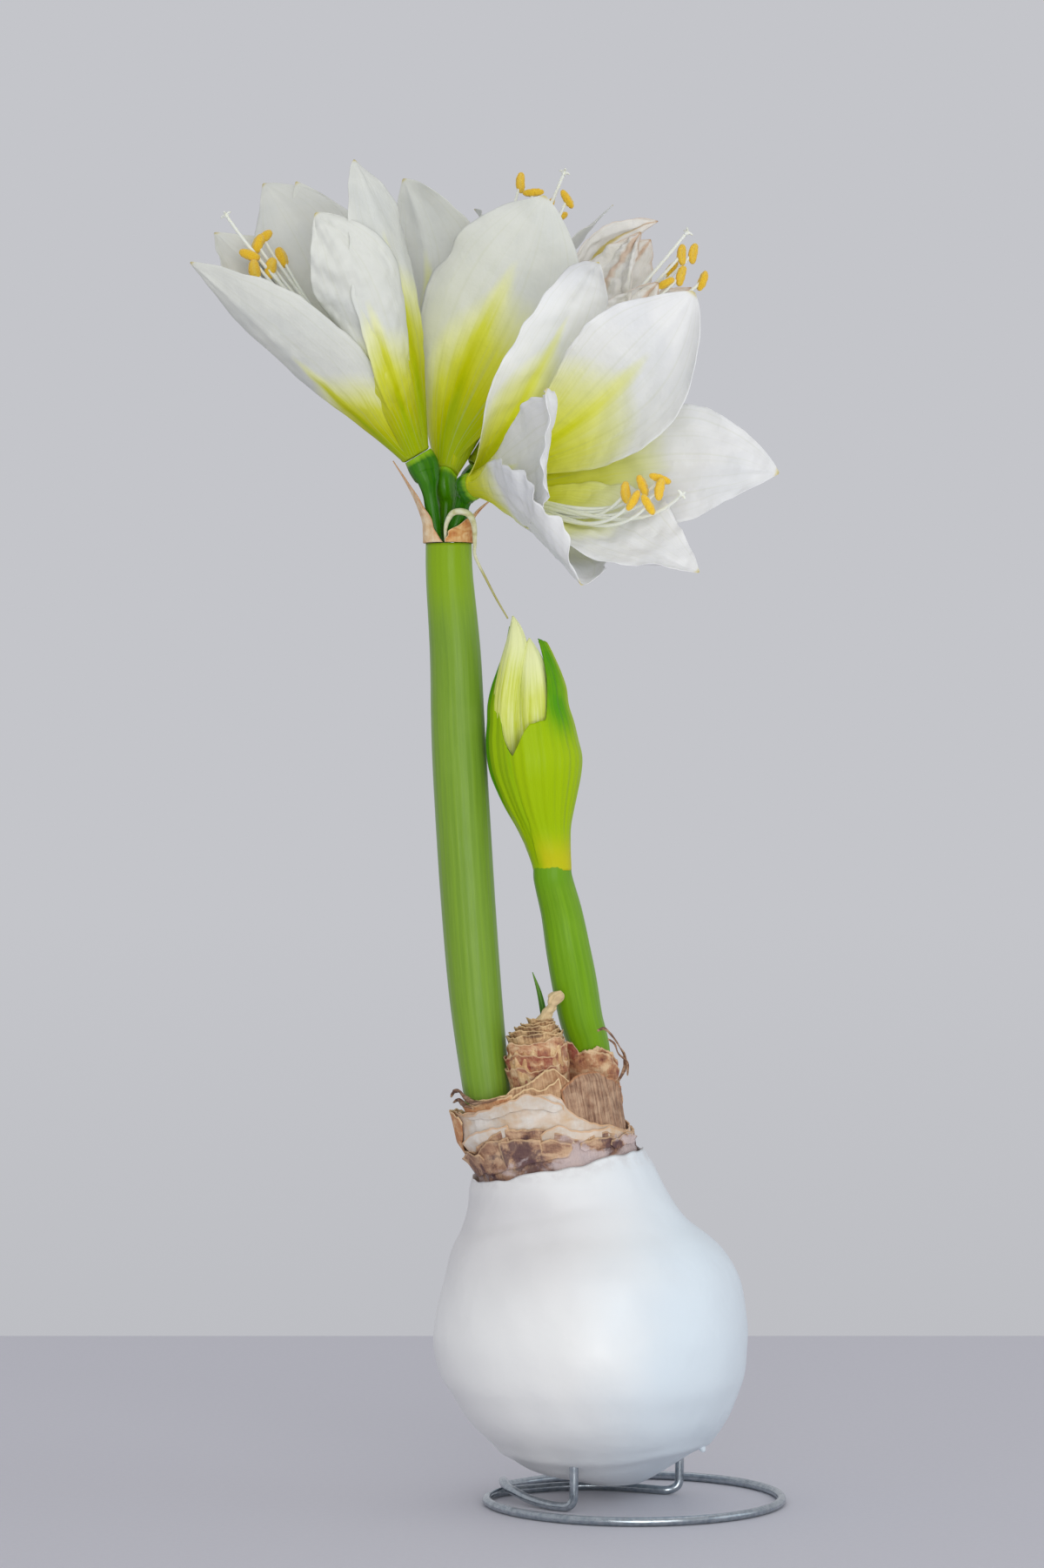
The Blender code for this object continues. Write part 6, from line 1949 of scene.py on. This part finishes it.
# Middle x, y, z and radius at points along each closed flower.
BUDS = {
    "bud_left": (
        (-37.4, -9.6, 231, 1.4), (-40.4, -11, 245, 3.2), (-42, -12.2, 258, 4.5),
        (-41.9, -12.6, 268, 4.7), (-40.6, -12.6, 278, 4.3), (-39.2, -12.2, 286, 3.6),
        (-39.5, -11.8, 292, 2), (-40.4, -11.6, 296.2, 0.2),
    ),
    "bud_middle": (
        (-30.4, -11.4, 231, 1.5), (-31.8, -12, 245, 4.4), (-33, -12.4, 258, 5.9),
        (-33.4, -12.6, 267, 6), (-33.6, -12.6, 275, 5), (-34, -12.5, 280.5, 3.9),
        (-34.5, -12.4, 285, 2.2), (-34.9, -12.4, 288.8, 0.2),
    ),
    "bud_back": (
        (-31, -2, 231, 1.1), (-33, -1.8, 254, 4.2), (-34.5, -1.7, 268, 4.1),
        (-36, -1.6, 284, 0.3),
    ),
}


@dataclass
class BudCluster:
    """The closed bud of the short stem: two green valves and the flowers inside.

    The levels give height, middle x and radius of the sheath, and edge its height by angle.
    """

    levels: tuple[Place, ...] = (
        (211.6, -27.2, 6.4), (220.3, -28.8, 7.7), (226.1, -30.2, 9.1), (231.9, -31.4, 11.2),
        (237.7, -32.2, 13.2), (243.5, -32.8, 14.9), (249.3, -33.2, 15.7), (255.1, -34, 15.2),
        (260.9, -34.5, 14.3), (266.7, -35.3, 13.3), (272.5, -35.1, 12.3), (278.3, -35.1, 10.3),
        (284.1, -35.4, 8), (288.4, -36.1, 6.1), (294.4, -38.6, 2.6),
    )
    edge: Stations = (
        (0, 287.6), (60, 268), (100, 250), (140, 268), (180, 293), (205, 290),
        (211, 280), (219, 267), (231, 255), (242, 249.5), (270, 260.4), (290, 261.4),
        (298, 265), (303, 276), (306, 284), (311, 287.4), (320, 288.8), (336, 288),
        (360, 287),
    )
    depth: float = -7.0
    wall: float = 0.8
    floor: float = 228.0

    def lap(self, height: Array, degrees: Array) -> Array:
        """How many degrees past the line, by height, where the right valve laps over the left one."""
        return degrees - np.interp(height, (211, 216, 227.5, 249.5), (226, 230, 242.5, 242))

    def ring(self, height: Array, inset: float, turn: Array) -> Array:
        """Points of the sheath at a height and angle, ribbed lengthwise, moved in by the inset."""
        heights = [level[0] for level in self.levels]
        row = through(self.levels, np.interp(height, heights, np.arange(len(heights))))
        degrees = np.degrees(turn)
        ribs = 0.22 * np.sin(turn * 14 + 1) + 0.14 * np.sin(turn * 31)
        over = 0.45 * smooth(-1.5, 1.5, self.lap(height, degrees)) * smooth(330, 270, degrees)
        radius = row[..., 2] - inset + ribs * smooth(216, 236, height) + over * smooth(212, 218, height)
        return polar(turn, np.maximum(radius, 0.3), height) + join(row[..., 1], self.depth, 0)

    def sheath(self, bench: Bench) -> None:
        """Builds the sheath: a cup whose open edge rises to a point on each side."""
        angles = circle(176)
        degrees = np.degrees(angles)
        edge = round_table(self.edge, degrees) + 0.25 * ragged(angles, 8, (7, 13, 23))
        bottom = self.levels[0][0]
        outside = self.ring(bottom + (edge - bottom) * rows01(90), 0, angles)
        inside = self.ring(edge + (self.floor - edge) * rows01(60), self.wall * 0.8, angles)
        rings = np.concatenate([outside, inside])
        height = rings[..., 2]
        # The skin is darker on the left and on the upper right, and a painted shadow line runs along the lap where the
        # right valve overlaps the left one.
        dark = bell((degrees - 181) / 15) * smooth(222, 244, height)
        seam = smooth(4, -2, self.lap(height, degrees)) * smooth(170, 200, degrees)
        dark = dark + 0.2 * seam * bell((edge - height) / 60)
        dark = dark + 0.75 * bell((degrees - 318) / 30) * smooth(248, 268, height)
        foot = 0.75 * smooth(226, 214, height) * smooth(225, 260, degrees)
        basket = Basket().tube(rings, rise=share01(0.9 - dark), foot=foot)
        bench.put("bud_valves", basket, "sheath_green", ["bud_sheath"], Green.VALVE)

    def bud(self, bench: Bench, name: str) -> None:
        """Builds one closed flower: folded petals round a table of places and radii.

        The radius is folded by 0.95 + 0.09·|sin(3θ + twist)| so that six petal backs show.

        Args:
            bench: where the piece goes.
            name: the node that it takes the place of.
        """
        table = BUDS[name]
        path = resample(through(table, np.linspace(0, len(table) - 1, 16)), 110)
        angles, run = circle(66), rows01(110)
        folds = 0.09 * np.abs(np.sin(3 * angles + 2 * run)) + 0.02 * np.sin(18 * angles)
        radius = np.maximum(path[:, 3:], 0.12) * (0.95 + folds)
        basket = Basket().tube(tube_rings(path[:, :3], radius, 66, BACKWARD), rise=smooth(0.5, 1, run))
        bench.put("closed_" + name, basket, "bud_green", [name], Green.BUD)

    def build(self, bench: Bench) -> None:
        """Builds the sheath and its three closed flowers."""
        self.sheath(bench)
        for name in BUDS:
            self.bud(bench, name)


# Table, light and camera


@dataclass
class Stage:
    """The pale table, the soft light and the camera at the photograph's viewing angle.

    Each lamp has a name, a place, the point that it faces, a side in mm, a power and a colour.
    """

    camera_at: Place = (-37.3, -1497.0, 240.3)
    lens: float = 102.7
    sensor: float = 36.0
    table_front: float = -800.0
    table_back: float = 450.0
    half_width: float = 2600.0
    table_depth: float = 20.0
    wall: Colour = (196, 197, 202)
    low_wall: Colour = (189, 190, 195)
    lamps: tuple[tuple[str, Place, Place, float, float, Colour], ...] = (
        ("front_light", (260, -1700, 340), (-40, 0, 200), 1500, 11.7, (1, 1, 0.97)),
        ("low_light", (120, -1250, 60), (-10, 0, 30), 600, 2.65, (0.97, 1, 1)),
        ("side_light", (1400, -300, 420), (-40, 0, 200), 900, 1.5, (0.84, 0.93, 1)),
        ("top_light", (0, 500, 1700), (0, 300, 0), 1600, 2.6, (1, 0.99, 1)),
    )

    def table(self, bench: Bench) -> None:
        """Lays the table top: a flat plate at the height of the stand's feet."""
        # The outermost strips are narrow, so the rounded normals of the rim stay at the rim.
        across = np.array([-1, -0.999, -0.5, 0, 0.5, 0.999, 1]) * self.half_width
        deep = np.array([0, 0.001, 0.25, 0.5, 0.75, 0.999, 1])
        x, y = np.meshgrid(across, self.table_front + deep * (self.table_back - self.table_front))
        grid = join(x, y, -self.table_depth / 2)
        mesh = Basket().sheet(grid, self.table_depth, join(x, y) * MM).mesh("pale_table", bench.middle)
        mesh.materials.append(FloorFinish().make())
        placed("pale_table", mesh)

    def light(self, bench: Bench) -> None:
        """Hangs the square soft lights: a very wide one beside the camera and three weaker ones."""
        for name, at, toward, size, watts, colour in self.lamps:
            light = bpy.data.lights.new(name, "AREA")
            light.size, light.energy, light.color = size * MM, watts, colour
            lamp = placed(name, light)
            lamp.location = Vector((np.array(at) + bench.middle) * MM)
            way = Vector(np.array(toward, float) - at)
            lamp.rotation_euler = way.to_track_quat("-Z", "Y").to_euler()
            lamp.visible_camera = False

    def surroundings(self) -> None:
        """Sets the pale surroundings, a little darker low down, and plain colours on screen."""
        world = bpy.data.worlds.new("pale_room")
        world.use_nodes = True
        nodes, links = world.node_tree.nodes, world.node_tree.links
        kinds = ("ShaderNodeTexCoord", "ShaderNodeSeparateXYZ", "ShaderNodeMapRange", "ShaderNodeValToRGB")
        place, parts, slope, fade = (nodes.new(kind) for kind in kinds)
        links.new(place.outputs["Generated"], parts.inputs[0])
        links.new(parts.outputs["Z"], slope.inputs["Value"])
        slope.inputs["From Min"].default_value, slope.inputs["From Max"].default_value = -0.125, -0.03
        links.new(slope.outputs[0], fade.inputs[0])
        fade.color_ramp.elements[0].color = tint(self.low_wall)
        fade.color_ramp.elements[1].color = tint(self.wall)
        links.new(fade.outputs[0], nodes["Background"].inputs["Color"])
        bpy.context.scene.world = world
        bpy.context.scene.view_settings.view_transform = "Standard"

    def camera(self, bench: Bench) -> None:
        """Sets a level camera that looks straight to the back."""
        lens = bpy.data.cameras.new("photo_camera")
        lens.lens, lens.sensor_width = self.lens, self.sensor
        camera = placed("photo_camera", lens)
        camera.location = Vector((np.array(self.camera_at) + bench.middle) * MM)
        camera.rotation_euler = (np.pi / 2, 0, 0)
        bpy.context.scene.camera = camera

    def build(self, bench: Bench) -> None:
        """Sets up the table, the lights and the camera."""
        self.table(bench)
        self.light(bench)
        self.surroundings()
        self.camera(bench)


def main() -> None:
    """Builds every piece in order."""
    logging.basicConfig(level=logging.INFO, format="%(message)s")
    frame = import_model()
    bench = Bench.at_ring()
    Stage().build(bench)
    WireStand().build(bench)
    WaxCoat().build(bench)
    BulbFlesh().dress(frame["nodes"]["bulb"])
    Neck().build(bench)
    Stem("tall_flower_stem", "tall_stem", TALL_STEM, Green.TALL, 1, 0.8).build(bench)
    Stem("short_bud_stem", "short_stem", SHORT_STEM, Green.SHORT, 4, 0.9).build(bench)
    StemTop().build(bench)
    for bloom in BLOOMS:
        bloom.build(bench)
    BudCluster().build(bench)


if __name__ == "__main__":
    main()
